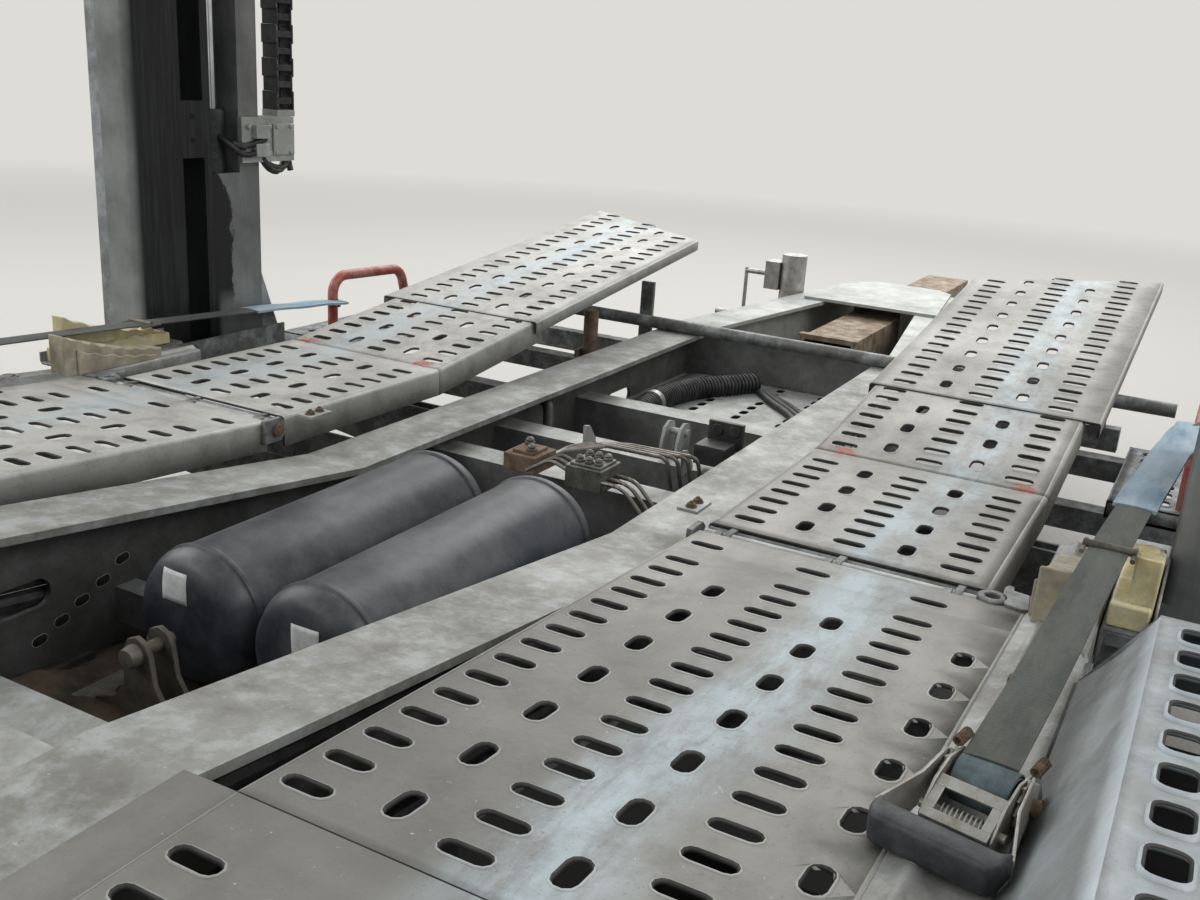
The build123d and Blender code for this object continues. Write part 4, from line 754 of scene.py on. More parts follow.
def tank_shapes():
    """Air tanks: a welded tube with dished ends. The end's radius falls as a superellipse, so it is nearly flat with
    a rounded knuckle; a narrow bead stands where each end is welded on."""
    tanks, fittings, labels = Shape(), Shape(), Shape()
    middle, half, radius, depth, power = 0.620, 0.305, 0.103, 0.030, 4.5
    t = np.linspace(0.02, 1, 11)
    dish = np.column_stack([depth * (1 - (1 - t ** power) ** 0.5), radius * t])
    dish[-1, 0] = depth
    seam = np.array([(0.036, 0.0), (0.038, 0.0028), (0.042, 0.0034), (0.046, 0.0028), (0.048, 0.0)]) + (0, radius)
    rear = np.vstack([dish, seam])
    front = np.column_stack([2 * half - rear[::-1, 0], rear[::-1, 1]])
    profile = np.vstack([rear, [(half, radius)], front]) + (middle - half, 0)
    axis_z = 0.774
    v, w = np.meshgrid(np.linspace(0.023, -0.023, 7), np.linspace(-0.022, 0.022, 7), indexing="ij")
    for centre, y0, z0 in ((0.064, 0.081, 0.828), (-0.147, -0.152, 0.812)):   # a tank's axis, its label's middle
        tanks.join(turned(profile, (0, centre, axis_z), "x", 56))
        share = np.hypot(y0 + v + 0.05 * w - centre, z0 + w - axis_z) / radius
        bulge = depth * (1 - (1 - np.clip(share, 0, 0.98) ** power) ** 0.5)
        labels.join(grid(np.stack([middle - half + bulge - 0.0012, y0 + v + 0.05 * w, z0 + w], -1)))
    clevis = [(0.000, 0.664), (0.158, 0.664), (0.150, 0.676), (0.112, 0.690), (0.092, 0.716), (0.088, 0.768),
              (0.080, 0.784), (0.064, 0.791), (0.048, 0.784), (0.040, 0.768), (0.034, 0.726), (0.014, 0.694),
              (0.000, 0.684)]
    for x in (0.232, 0.270):
        fittings.join(prism(clevis, x, x + 0.008, "yz"))
    fittings.join(turned([(0.214, 0.0135), (0.222, 0.0155), (0.232, 0.0160)], (0, 0.064, 0.766), "x", 18))
    fittings.join(tube([(0.220, 0.064, 0.766), (0.292, 0.064, 0.766)], 0.0095, sides=12))
    fittings.join(blocks([(0.206, 0.318, -0.060, 0.200, 0.652, 0.664)]))
    fittings.join(turned([(0.0, 0.0130), (0.016, 0.0125), (0.023, 0.0060)], (0.262, -0.020, 0.664), "z", 14))
    return tanks, fittings, labels


def dirt_plate():
    """The plate that lies on the rails' lower flanges under the tanks' rear end, and the road dirt heaped on it: two
    sine waves of a hand's width with ridges of a finger's width on them."""
    x = np.linspace(-0.060, 0.470, 54)[:, None]
    y = np.linspace(-0.322, 0.322, 65)[None, :]
    rail = np.interp(x, (-0.100, 0.940), (0.932, 0.791)) - 0.250
    heap = 0.012 * (1 + np.sin(19 * x + 3 * np.sin(11 * y)) * np.cos(17 * y + 2 * np.sin(23 * x)))
    ridge = 0.0035 * np.sin(95 * x + 4 * np.sin(40 * y)) * np.sin(80 * y + 3 * np.sin(60 * x))
    z = rail + 0.016 + np.clip(heap + ridge, 0, None) * np.clip((0.322 - np.abs(y)) / 0.05, 0, 1)
    x, y, z = np.broadcast_arrays(x, y, z)
    return grid(np.stack([x, y, z], -1))


def dome_nut(place, size):
    """A nut with a rounded cap: six flats below, then a dome."""
    t = np.linspace(0, 1, 5) * math.pi / 2
    dome = [(size * (0.7 + 0.7 * math.sin(a)), max(size * 0.85 * math.cos(a), 0.0006)) for a in t]
    return turned([(0.0, size), (0.6 * size, size)], place, "z", 6).join(turned(dome, place, "z", 12))


def valve_shapes():
    """A rusty block and a zinc block with dome nuts on the closed crossmember, and the pipes from their unions."""
    zinc, rusty, pipes = Shape(), Shape(), Shape()
    z = CROSSMEMBER_TOP
    rusty.join(blocks([(1.128, 1.208, 0.002, 0.074, z, z + 0.034)]))
    rusty.join(blocks([(1.140, 1.196, 0.014, 0.062, z + 0.034, z + 0.040)]))
    zinc.join(blocks([(1.114, 1.192, -0.150, -0.072, z, z + 0.044),
                      (1.120, 1.186, -0.144, -0.078, z + 0.044, z + 0.049)]))
    for x in (1.134, 1.172):
        for y in (-0.132, -0.112, -0.092):
            zinc.join(dome_nut((x, y, z + 0.049), 0.0095))
    for x, y in ((1.150, 0.024), (1.186, 0.050)):
        zinc.join(dome_nut((x, y, z + 0.040), 0.011))
    for k in range(4):
        y = -0.002 - 0.016 * k
        pipes.join(tube([(1.190, 0.010 + 0.012 * k, z + 0.018), (1.262 + 0.010 * k, y + 0.004, z + 0.026),
                         (1.300 + 0.012 * k, y - 0.030, z + 0.030), (1.330 + 0.014 * k, y - 0.180, z + 0.022),
                         (1.352 + 0.014 * k, y - 0.186, z - 0.060)], 0.0042, 0.018, 8))
    for k in range(3):
        pipes.join(tube([(1.130 + 0.022 * k, -0.076, z + 0.024), (1.128 + 0.022 * k, -0.030, z + 0.040),
                         (1.110 + 0.022 * k, 0.010, z + 0.014)], 0.0038, 0.014, 8))
        pipes.join(tube([(1.118 + 0.026 * k, -0.148, z + 0.022), (1.112 + 0.026 * k, -0.196, z + 0.024),
                         (1.104 + 0.026 * k, -0.246, z - 0.020), (1.104 + 0.026 * k, -0.262, z - 0.090)],
                        0.0042, 0.02, 8))
    for line in ([(0.935, 0.322, 0.742), (0.960, 0.300, 0.752), (1.160, 0.296, 0.756), (1.205, 0.322, 0.750)],
                 [(0.935, 0.322, 0.726), (0.965, 0.292, 0.736), (1.175, 0.288, 0.740), (1.215, 0.322, 0.734)]):
        pipes.join(tube(line, 0.0055, 0.02, 8))
    return zinc, rusty, pipes


def wavy_hose(points, radius, pitch, depth, count):
    """A corrugated hose: the radius rises and falls by depth once every pitch along a smooth line."""
    line = smoothed(points, count)
    run = np.concatenate([[0], np.cumsum(np.linalg.norm(np.diff(line, axis=0), axis=1))])
    side, up = frames(line)
    size = radius + depth * np.clip(1.6 * np.sin(2 * math.pi * run / pitch), -1, 1)
    ring = circle(1.0, 18)[::-1]
    rings = side[:, None] * ring[None, :, :1] + up[:, None] * ring[None, :, 1:]
    return grid(line[:, None] + rings * size[:, None, None], close_v=True, caps=True)


def hoses():
    """The corrugated hose over the floor plate, its clamp, and the plain black hoses: seven along each rail's web,
    three over the floor plate and one at the left rail."""
    wavy = wavy_hose([(1.960, 0.190, 0.684), (2.060, 0.198, 0.690), (2.160, 0.196, 0.690), (2.280, 0.164, 0.688),
                      (2.380, 0.112, 0.684), (2.455, 0.066, 0.683)], 0.0300, 0.0125, 0.0032, 421)
    clamp = turned([(-0.012, 0.0345), (0.012, 0.0345)], (0, 0, 0), "x", 24)
    clamp = Shape().join(turn_about(clamp, "Z", 0.08), (2.052, 0.1975, 0.690))
    plain = Shape()
    for k in range(7):
        drop = 0.052 + 0.0265 * k
        line = [(x, 0.352, z - drop) for x, z in ((-0.900, 0.932), (-0.100, 0.932), (0.940, 0.791), (1.500, 0.791))]
        plain.join(both(tube(line, 0.0128, 0.10, 8)))
    for k in range(3):
        plain.join(tube([(2.460 - 0.02 * k, 0.060 - 0.03 * k, 0.668), (2.330, -0.040 - 0.03 * k, 0.670),
                         (2.250, -0.130 - 0.020 * k, 0.668), (2.130, -0.180 - 0.022 * k, 0.668)], 0.0105, 0.07, 10))
    plain.join(tube([(1.632, 0.322, 0.770), (1.650, 0.285, 0.776), (1.600, 0.250, 0.730), (1.560, 0.235, 0.660)],
                    0.013, 0.04, 12))
    return wavy, clamp, plain


def floor_plate():
    """The slotted plate over the drawbar between the rails, and a black sheet under it as painted shade."""
    plate = slotted(np.concatenate([[1.950], 1.962 + 0.0570 * np.arange(11), [2.540]]),
                    [-0.300, -0.262, -0.212, -0.150, -0.100, -0.025, 0.025, 0.100, 0.150, 0.212, 0.262, 0.300],
                    [(band, 1, 1, 10, 0.040, 0.022, True) for band in (1, 3, 5, 7, 9)],
                    level(FLOOR_PLATE_TOP), rim=0.002, lift=0.001, near_lip=0.006, far_lip=0.006, bend=0.002)
    return plate, blocks([(1.955, 2.535, -0.298, 0.298, 0.6555, 0.6572)])


def frame_fittings():
    """Small fittings on the frame between the rails: gussets, fork ears, a bracket with two holes, plates and bolts
    on the rails, and along each web a slanted row of five holes' rims with black discs in them as painted shade."""
    steel, black, bolts, holes = Shape(), Shape(), Shape(), Shape()
    for x, y in ((1.395, 0.040), (1.372, -0.200)):
        steel.join(prism([(x, 0.760), (x + 0.052, 0.760), (x + 0.046, 0.776), (x + 0.020, 0.808), (x, 0.812)],
                         -(y + 0.006), -y, "xz"))
    fork = [(1.500, 0.745), (1.560, 0.745), (1.566, 0.790), (1.556, 0.812), (1.534, 0.818), (1.514, 0.808),
            (1.500, 0.775)]
    for y in (-0.128, -0.092):
        steel.join(prism(fork, -(y + 0.007), -y, "xz"))
    steel.join(tube([(1.537, -0.136, 0.796), (1.537, -0.076, 0.796)], 0.0075, sides=12))
    black.join(blocks([(1.560, 1.572, -0.250, -0.170, 0.770, 0.830), (1.490, 1.550, -0.240, -0.170, 0.750, 0.792)]))
    for y in (-0.230, -0.192):
        black.join(turned([(-0.003, 0.013), (0.000, 0.013)], (1.560, y, 0.812), "x", 16))
    for s in (-1, 1):
        steel.join(blocks([(0.934, 0.992, s * 0.402 - 0.018, s * 0.402 + 0.018, 0.8625, 0.868)]))
        for x in (0.950, 0.976):
            bolts.join(bolt((x, s * 0.402, 0.868), "z", 0.008))
    tilt = np.array([[0.991, -0.135], [0.135, 0.991]])            # the rails' slope
    ring = obround(0.026, 0.015, True, 16) @ tilt.T
    for middle in ((0.436, 0.765), (0.398, 0.741), (0.358, 0.723), (0.321, 0.704), (0.282, 0.687)):
        hole, lip = ring + middle, ring * 1.08 + middle
        for s in (-1, 1):
            face = s * RAIL_WEB
            layers = [np.column_stack([line[:, 0], np.full(16, face - s * out), line[:, 1]])
                      for line, out in ((lip, 0.0), (lip, 0.0010), (hole, 0.0010), (hole, 0.0004))]
            layers = np.stack(layers if s < 0 else [row[::-1] for row in layers])
            steel.join(grid(layers, close_v=True))
            # a black disc in the hole, as painted shade
            cover = np.column_stack([hole[:, 0], np.full(16, face - s * 0.0006), hole[:, 1]])
            holes.add(cover[::-1] if s < 0 else cover, [list(range(16))])
    return steel, black, bolts, holes


# Posts: chain, hoses and small steel -----------------------------------------------

def chain_links():
    """The energy chain beside the left post: each link is two side plates that lap the next, joined by two bars."""
    x0, x1, y0, y1 = 1.6245, 1.6875, 1.1005, 1.1495
    bottom, pitch, wall = 1.378, 0.0400, 0.006
    rows = []
    for k in range(25):
        z, inset = bottom + pitch * k, 0.0045 * (k % 2)
        for a, b in ((x0 + inset, x0 + inset + wall), (x1 - inset - wall, x1 - inset)):
            rows.append((a, b, y0, y1, z, z + 0.0455))
        for a, b in ((y0 + 0.001, y0 + 0.007), (y1 - 0.007, y1 - 0.001)):
            rows.append((x0 + inset + wall, x1 - inset - wall, a, b, z + 0.014, z + 0.030))
    chain = blocks(rows)
    for x, radius in ((1.645, 0.007), (1.665, 0.006)):            # the hoses that it carries
        chain.join(tube([(x, 1.125, 1.379), (x, 1.125, 2.417)], radius, sides=8))
    return chain


def post_hoses():
    """Hoses at the front posts: two loops from the chain's end under the bracket, and two bends out of the bay."""
    shape = Shape()
    for k, (x, r) in enumerate(((1.645, 0.009), (1.665, 0.008))):
        shape.join(tube([(x, 1.120, 1.385), (x + 0.010, 1.118, 1.290 - 0.02 * k), (1.660 + 0.012 * k, 1.105, 1.235),
                         (1.590, 1.094, 1.222 + 0.014 * k), (1.560, 1.092, 1.262)], r, 0.045, 12))
    for s in (1, -1):
        for k in range(2):
            shape.join(tube([(1.440 + 0.020 * k, s * 1.150, 1.330 - 0.02 * k), (1.450 + 0.016 * k, s * 1.092, 1.300),
                             (1.486, s * 1.078, 1.268 + 0.024 * k), (1.560, s * 1.080, 1.290 + 0.020 * k)], 0.0075,
                            0.030, 10))
    return shape


def post_steel():
    """Clamp blocks and bolts on the hose brackets, plug screws on the grooves' bridges, and clips on both posts."""
    steel = blocks([(1.520, 1.566, 1.070, 1.0855, 1.268, 1.300), (1.520, 1.566, 1.070, 1.0855, 1.312, 1.344),
                    (1.590, 1.664, 1.080, 1.0855, 1.270, 1.346)])
    for x in (1.506, 1.576, 1.600, 1.650):
        for z in (1.276, 1.340):
            steel.join(turned([(-0.009, 0.0060), (0.0, 0.0075)], (x, 1.0855, z), "y", 6))
    plugs = Shape()
    for z in (1.310, 1.365):
        plugs.join(turned([(-0.0010, 0.0060), (0.0002, 0.0070)], (1.344, POST_FACE, z), "y", 16))
    clips = blocks([(1.5563, 1.566, 1.118, 1.138, z, z + 0.020) for z in (1.080, 1.160)])
    clips.join(turned([(-0.004, 0.016), (0.0, 0.018)], (1.300, 1.2, 0.9), "y", 16))
    return both(steel), both(plugs), both(clips)


# Wheels -----------------------------------------------------------------------------

def tyre_shape(x, y):
    """One tyre turned about its axle. The radius over the tread falls into four grooves that run round, and into
    notches across both shoulders; three shallow rings mark the side walls."""
    half, radius, bead = 0.120, AXLE_Z, 0.2225
    wall = [(-0.80, bead), (-0.90, 0.240), (-0.955, 0.262), (-0.975, 0.264), (-1.00, 0.292), (-0.985, 0.300),
            (-1.00, 0.310), (-0.985, 0.345), (-0.95, 0.362), (-0.86, 0.379)]
    tread_w = np.array([-0.80, -0.62, -0.60, -0.54, -0.52, -0.22, -0.20, -0.14, -0.12, 0.12, 0.14, 0.20, 0.22, 0.52,
                        0.54, 0.60, 0.62, 0.80])
    deep = np.array([0, 0, 1, 1, 0, 0, 1, 1, 0, 0, 1, 1, 0, 0, 1, 1, 0, 0], float) * 0.011
    crown = radius - 0.006 * tread_w ** 2 / 0.64
    edge = np.array(wall)
    w = np.concatenate([edge[:, 0], tread_w, -edge[::-1, 0]]) * half
    r = np.concatenate([edge[:, 1], crown - deep, edge[::-1, 1]])
    count = 156
    angle = np.linspace(0, 2 * math.pi, count, endpoint=False)
    shoulder = (np.abs(w) > 0.60 * half) & (r > 0.375)
    notch = ((np.arange(count) % 3) == 0)[:, None] * shoulder[None] * 0.009
    across = ((np.arange(count) % 6) == 0)[:, None] * ((np.abs(w) < 0.55 * half) & (r > 0.385))[None] * 0.005
    size = r[None] - notch - across
    points = np.stack([x + size * np.sin(angle)[:, None], np.broadcast_to(y + w, size.shape),
                       radius + size * np.cos(angle)[:, None]], -1)
    return grid(points, close_u=True, close_v=True)


def wheel_fittings(x, s):
    """Ten nuts on the outer disc, the hub's cap, and the cap's six bolts, on the side s."""
    cap = [(1.0100, 0.070), (1.0700, 0.068), (1.0850, 0.060), (1.0925, 0.040), (1.0930, 0.004)]
    whole = turned([(s * d, r) for d, r in cap][::s], (x, 0, AXLE_Z), "y", 36)
    for count, first, radius, face, size in ((10, 0.0, 0.1125, 1.0135, 0.0155), (6, 0.5, 0.052, 1.088, 0.005)):
        for angle in 2 * math.pi * (np.arange(count) + first) / count:
            place = (x + radius * math.sin(angle), s * face, AXLE_Z + radius * math.cos(angle))
            whole.join(bolt(place, "y", size, s))
    return whole


# Rear end ----------------------------------------------------------------------------

def lens(x, y, z, width, height, depth):
    """A lamp's lens facing rearwards: a dome over a rounded rectangle that rises as the cosine of the distance
    out."""
    rings = []
    for t in np.linspace(1, 0.04, 8):
        ring = circle(1.0, 28)
        ring = np.sign(ring) * np.abs(ring) ** 0.45
        rings.append(np.column_stack([np.full(28, x - depth * math.cos(t * math.pi / 2) ** 0.7),
                                      y + ring[:, 0] * width / 2 * t, z + ring[:, 1] * height / 2 * t]))
    return grid(np.stack(rings), close_v=True, caps=True)


# Finishes --------------------------------------------------------------------

def linear(code):
    """sRGB hex to linear colour."""
    values = [int(code[i:i + 2], 16) / 255 for i in (1, 3, 5)]
    return tuple(v / 12.92 if v <= 0.04045 else ((v + 0.055) / 1.055) ** 2.4 for v in values) + (1.0,)


def add(tree, kind, sets=None, links=None):
    """Adds one node with its settings and its links or values."""
    node = tree.nodes.new(kind)
    for name, value in (sets or {}).items():
        setattr(node, name, value)
    for name, value in (links or {}).items():
        socket = node.inputs[name]
        if isinstance(value, bpy.types.NodeSocket):
            tree.links.new(value, socket)
        else:
            socket.default_value = value
    return node


def blank(name):
    """A material with its shader, and where a point is on the object in metres."""
    material = bpy.data.materials.new(name)
    material.use_nodes = True
    tree = material.node_tree
    shader = next(n for n in tree.nodes if n.type == "BSDF_PRINCIPLED")
    place = add(tree, "ShaderNodeTexCoord").outputs["Object"]
    return material, tree, shader, place


def cloud(tree, place, size, low, high, least=0.0, most=1.0, detail=5.0, rough=0.6, stretch=(1, 1, 1)):
    """A share that runs from least to most in soft patches about size metres across."""
    mapped = add(tree, "ShaderNodeMapping", links={"Vector": place, "Scale": stretch}).outputs["Vector"]
    patches = add(tree, "ShaderNodeTexNoise", links={"Vector": mapped, "Scale": 1.0 / size, "Detail": detail,
                                                     "Roughness": rough}).outputs["Fac"]
    return add(tree, "ShaderNodeMapRange", links={0: patches, 1: low, 2: high, 3: least, 4: most}).outputs[0]


def layered(tree, base, *layers):
    """Colours laid over a base: each row ends with the colour it brings, after the shares it is multiplied by."""
    colour = linear(base)
    for *shares, over in layers:
        share = shares[0]
        for other in shares[1:]:
            share = add(tree, "ShaderNodeMath", {"operation": "MULTIPLY"}, {0: share, 1: other}).outputs[0]
        colour = add(tree, "ShaderNodeMix", {"data_type": "RGBA"}, {0: share, 6: colour, 7: linear(over)}).outputs[2]
    return colour


def surface(tree, shader, place, colour, metallic, roughness, grain, depth, stretch=(1, 1, 1)):
    """Puts colour, metal, roughness and a fine uneven height of depth metres into the shader."""
    tree.links.new(colour, shader.inputs["Base Color"])
    shader.inputs["Metallic"].default_value = metallic
    if isinstance(roughness, float):
        shader.inputs["Roughness"].default_value = roughness
    else:
        tree.links.new(roughness, shader.inputs["Roughness"])
    height = cloud(tree, place, grain, 0.0, 1.0, stretch=stretch)
    out = add(tree, "ShaderNodeBump", links={"Height": height, "Distance": depth, "Strength": 1.0})
    tree.links.new(out.outputs["Normal"], shader.inputs["Normal"])


def galvanised_steel(name, light, dark, dirt, dirt_share=0.45, worn="#ccd1d3", upright_dirt_and_shade=0.0, web=0.0, reach=9.0):
    """Hot-dip galvanised steel, weathered outdoors: zinc gone dull and cloudy in patches of a hand's width, faint
    spangle of 12 mm crystals, road dirt in soft blots, pale salt in flecks, brighter metal where edges rub. Upright
    faces are darkened, partly by road dirt and partly as painted shade, within reach of a web at |y| = web; on a
    rail this is the painted shade on its inner web."""
    material, tree, shader, place = blank(name)
    normal = add(tree, "ShaderNodeNewGeometry").outputs["Normal"]
    normal_z = add(tree, "ShaderNodeSeparateXYZ", links={0: normal}).outputs["Z"]
    flat = add(tree, "ShaderNodeMath", {"operation": "ABSOLUTE"}, {0: normal_z}).outputs[0]
    standing = add(tree, "ShaderNodeMapRange", links={0: flat, 1: 0.3, 2: 0.8, 3: upright_dirt_and_shade, 4: 0.0}).outputs[0]
    off_web = add(tree, "ShaderNodeSeparateXYZ", links={0: place}).outputs["Y"]
    for operation, inputs in (("ABSOLUTE", {}), ("SUBTRACT", {1: web}), ("ABSOLUTE", {})):
        off_web = add(tree, "ShaderNodeMath", {"operation": operation}, {0: off_web, **inputs}).outputs[0]
    limits = {1: reach, 2: reach + 0.002, 3: 1.0, 4: 0.0}
    on_web = add(tree, "ShaderNodeMapRange", links={0: off_web, **limits}).outputs[0]
    crystal = add(tree, "ShaderNodeTexVoronoi", links={"Vector": place, "Scale": 1 / 0.012}).outputs["Color"]
    grey = add(tree, "ShaderNodeRGBToBW", links={"Color": crystal}).outputs[0]
    wear = add(tree, "ShaderNodeAttribute", sets={"attribute_name": "wear"}).outputs["Fac"]
    rubbed = add(tree, "ShaderNodeMapRange", links={0: wear, 1: 0.3, 2: 1.0, 3: 0.0, 4: 0.6}).outputs[0]
    colour = layered(
        tree, dark,
        (cloud(tree, place, 0.22, 0.35, 0.65), light),
        (cloud(tree, place, 0.05, 0.45, 0.62, 0.0, 0.35, 7.0, 0.7), worn),
        (grey, 0.10, worn),
        (cloud(tree, place, 0.09, 0.46, 0.68, 0.0, dirt_share, 8.0, 0.65), cloud(tree, place, 0.006, 0.35, 0.75, 0.6),
         dirt),
        (cloud(tree, place, 0.0035, 0.66, 0.74, 0.0, 0.5, 2.0), dirt),
        (cloud(tree, place, 0.014, 0.66, 0.72, 0.0, 0.45, 5.0, 0.75), "#dcdcd6"),
        # painted shade, partly road dirt: upright faces darkened, most on a rail's inner web
        (standing, on_web, cloud(tree, place, 0.15, 0.2, 0.6, 0.7, 1.0, 7.0, 0.7), "#343533"),
        (standing, on_web, cloud(tree, place, 0.02, 0.55, 0.72, 0.0, 0.6, 6.0, 0.7), "#5c564c"),
        (rubbed, worn))
    surface(tree, shader, place, colour, 0.3, cloud(tree, place, 0.22, 0.3, 0.7, 0.64, 0.44), 0.008, 0.0006)
    return material


def deck_sheet(name, light, dark, dirt, bright):
    """Pressed galvanised track sheet: warm from dust, a polished wheel path whose bluish tint is a painted sky
    reflection, brown-grey mud dried round the slots, bare bright rims, red marking paint at the ramps' joint. The
    right track is darker behind x 1, partly from dirt and partly as painted shade, and the left track lighter as
    painted light."""
    material, tree, shader, place = blank(name)
    axes = add(tree, "ShaderNodeSeparateXYZ", links={"Vector": place})
    across = add(tree, "ShaderNodeMath", {"operation": "ABSOLUTE"}, {0: axes.outputs["Y"]}).outputs[0]
    lane = add(tree, "ShaderNodeMath", {"operation": "ADD"},
               {0: across, 1: cloud(tree, place, 0.6, 0.3, 0.7, -0.04, 0.04, 3.0)}).outputs[0]
    off = add(tree, "ShaderNodeMath", {"operation": "SUBTRACT"}, {0: lane, 1: WHEEL_PATH}).outputs[0]
    off = add(tree, "ShaderNodeMath", {"operation": "ABSOLUTE"}, {0: off}).outputs[0]
    stripe = add(tree, "ShaderNodeMapRange", links={0: off, 1: 0.02, 2: 0.09, 3: 0.85, 4: 0.0}).outputs[0]
    wear = add(tree, "ShaderNodeAttribute", sets={"attribute_name": "wear"}).outputs["Fac"]
    rubbed = add(tree, "ShaderNodeMapRange", links={0: wear, 1: 0.40, 2: 1.0, 3: 0.0, 4: 0.55}).outputs[0]
    near, right, left, pale = (
        add(tree, "ShaderNodeMapRange", links={0: axes.outputs[axis], 1: low, 2: high, 3: least, 4: most}).outputs[0]
        for axis, low, high, least, most in (("X", 0.2, 1.0, 0.9, 0.0), ("Y", -0.85, -0.70, 0.25, 1.0),
                                             ("Y", -0.2, 0.2, 1.0, 0.0), ("Y", 0.0, 0.3, 0.0, 0.45)))
    ragged = cloud(tree, place, 0.012, 0.4, 0.6, -0.012, 0.012)
    flat = add(tree, "ShaderNodeCombineXYZ", links={0: axes.outputs["X"], 1: across, 2: 0.0}).outputs[0]
    sprayed = []
    for spot in ((1.445, 0.504, 0.0), (1.445, 0.842, 0.0)):
        reach = add(tree, "ShaderNodeVectorMath", {"operation": "DISTANCE"}, {0: flat, 1: spot}).outputs["Value"]
        reach = add(tree, "ShaderNodeMath", {"operation": "ADD"}, {0: reach, 1: ragged}).outputs[0]
        paint = add(tree, "ShaderNodeMapRange", links={0: reach, 1: 0.012, 2: 0.026, 3: 0.7, 4: 0.0}).outputs[0]
        sprayed.append((paint, "#b04a36"))
    colour = layered(
        tree, dark,
        (cloud(tree, place, 0.18, 0.36, 0.64, detail=6.0, stretch=(0.5, 1, 1)), light),
        # painted shade, partly dirt: the right track darkened behind x 1, most on its inner part
        (cloud(tree, place, 0.30, 0.35, 0.60, 0.7, 1.0), near, right, left, "#6d6c67"),
        # painted light: the left track lightened
        (pale, "#cdccc6"),
        # the polished wheel path; its bluish tint is a painted sky reflection
        (stripe, cloud(tree, place, 0.05, 0.34, 0.58, detail=6.0, rough=0.7, stretch=(0.25, 1, 1)), bright),
        (cloud(tree, place, 0.07, 0.48, 0.70, 0.0, 0.5, 8.0, 0.68), dirt),
        (cloud(tree, place, 0.004, 0.64, 0.72, 0.0, 0.5, 2.0), dirt),
        (cloud(tree, place, 0.012, 0.68, 0.72, 0.0, 0.6, 4.0, 0.75), "#d9d7d0"),
        *sprayed,
        (rubbed, "#c9cccb"))
    surface(tree, shader, place, colour, 0.3, cloud(tree, place, 0.18, 0.3, 0.7, 0.66, 0.50), 0.010, 0.0008)
    return material


def simple_finish(name, light, dark, patch, metallic, roughness, grain, depth, dust=None, dust_share=0.0, coat=0.0):
    """A finish that varies between two tones in patches, with dust lying over it in smaller ones."""
    material, tree, shader, place = blank(name)
    layers = [(cloud(tree, place, patch, 0.35, 0.65), light)]
    if dust:
        layers.append((cloud(tree, place, patch * 0.4, 0.42, 0.66, 0.0, dust_share, 7.0, 0.7), dust))
    shader.inputs["Coat Weight"].default_value = coat
    surface(tree, shader, place, layered(tree, dark, *layers), metallic,
            cloud(tree, place, patch, 0.3, 0.7, roughness + 0.08, roughness - 0.05), grain, depth)
    return material


def woven_webbing(name, light, dark, dust, edge):
    """Woven polyester: ribs across the band, as coarse as they need to be to show, soiled streaks along it, and the
    dye faded at random."""
    material, tree, shader, place = blank(name)
    rib_pitch, wave_length = 0.008, 2 * math.pi / 20              # the wave node's own length at scale 1
    ribs = add(tree, "ShaderNodeTexWave", {"bands_direction": "X"},
               {"Vector": place, "Scale": wave_length / rib_pitch, "Distortion": 0.6}).outputs["Fac"]
    colour = layered(
        tree, dark,
        (cloud(tree, place, 0.03, 0.35, 0.65, stretch=(0.12, 1, 1)), light),
        (ribs, 0.22, edge),
        (cloud(tree, place, 0.05, 0.42, 0.66, 0.0, 0.6, 7.0, 0.7, (0.3, 1, 1)), dust),
        (cloud(tree, place, 0.003, 0.55, 0.75, 0.0, 0.4), dust))
    surface(tree, shader, place, colour, 0.0, 0.85, 0.0015, 0.0004)
    return material


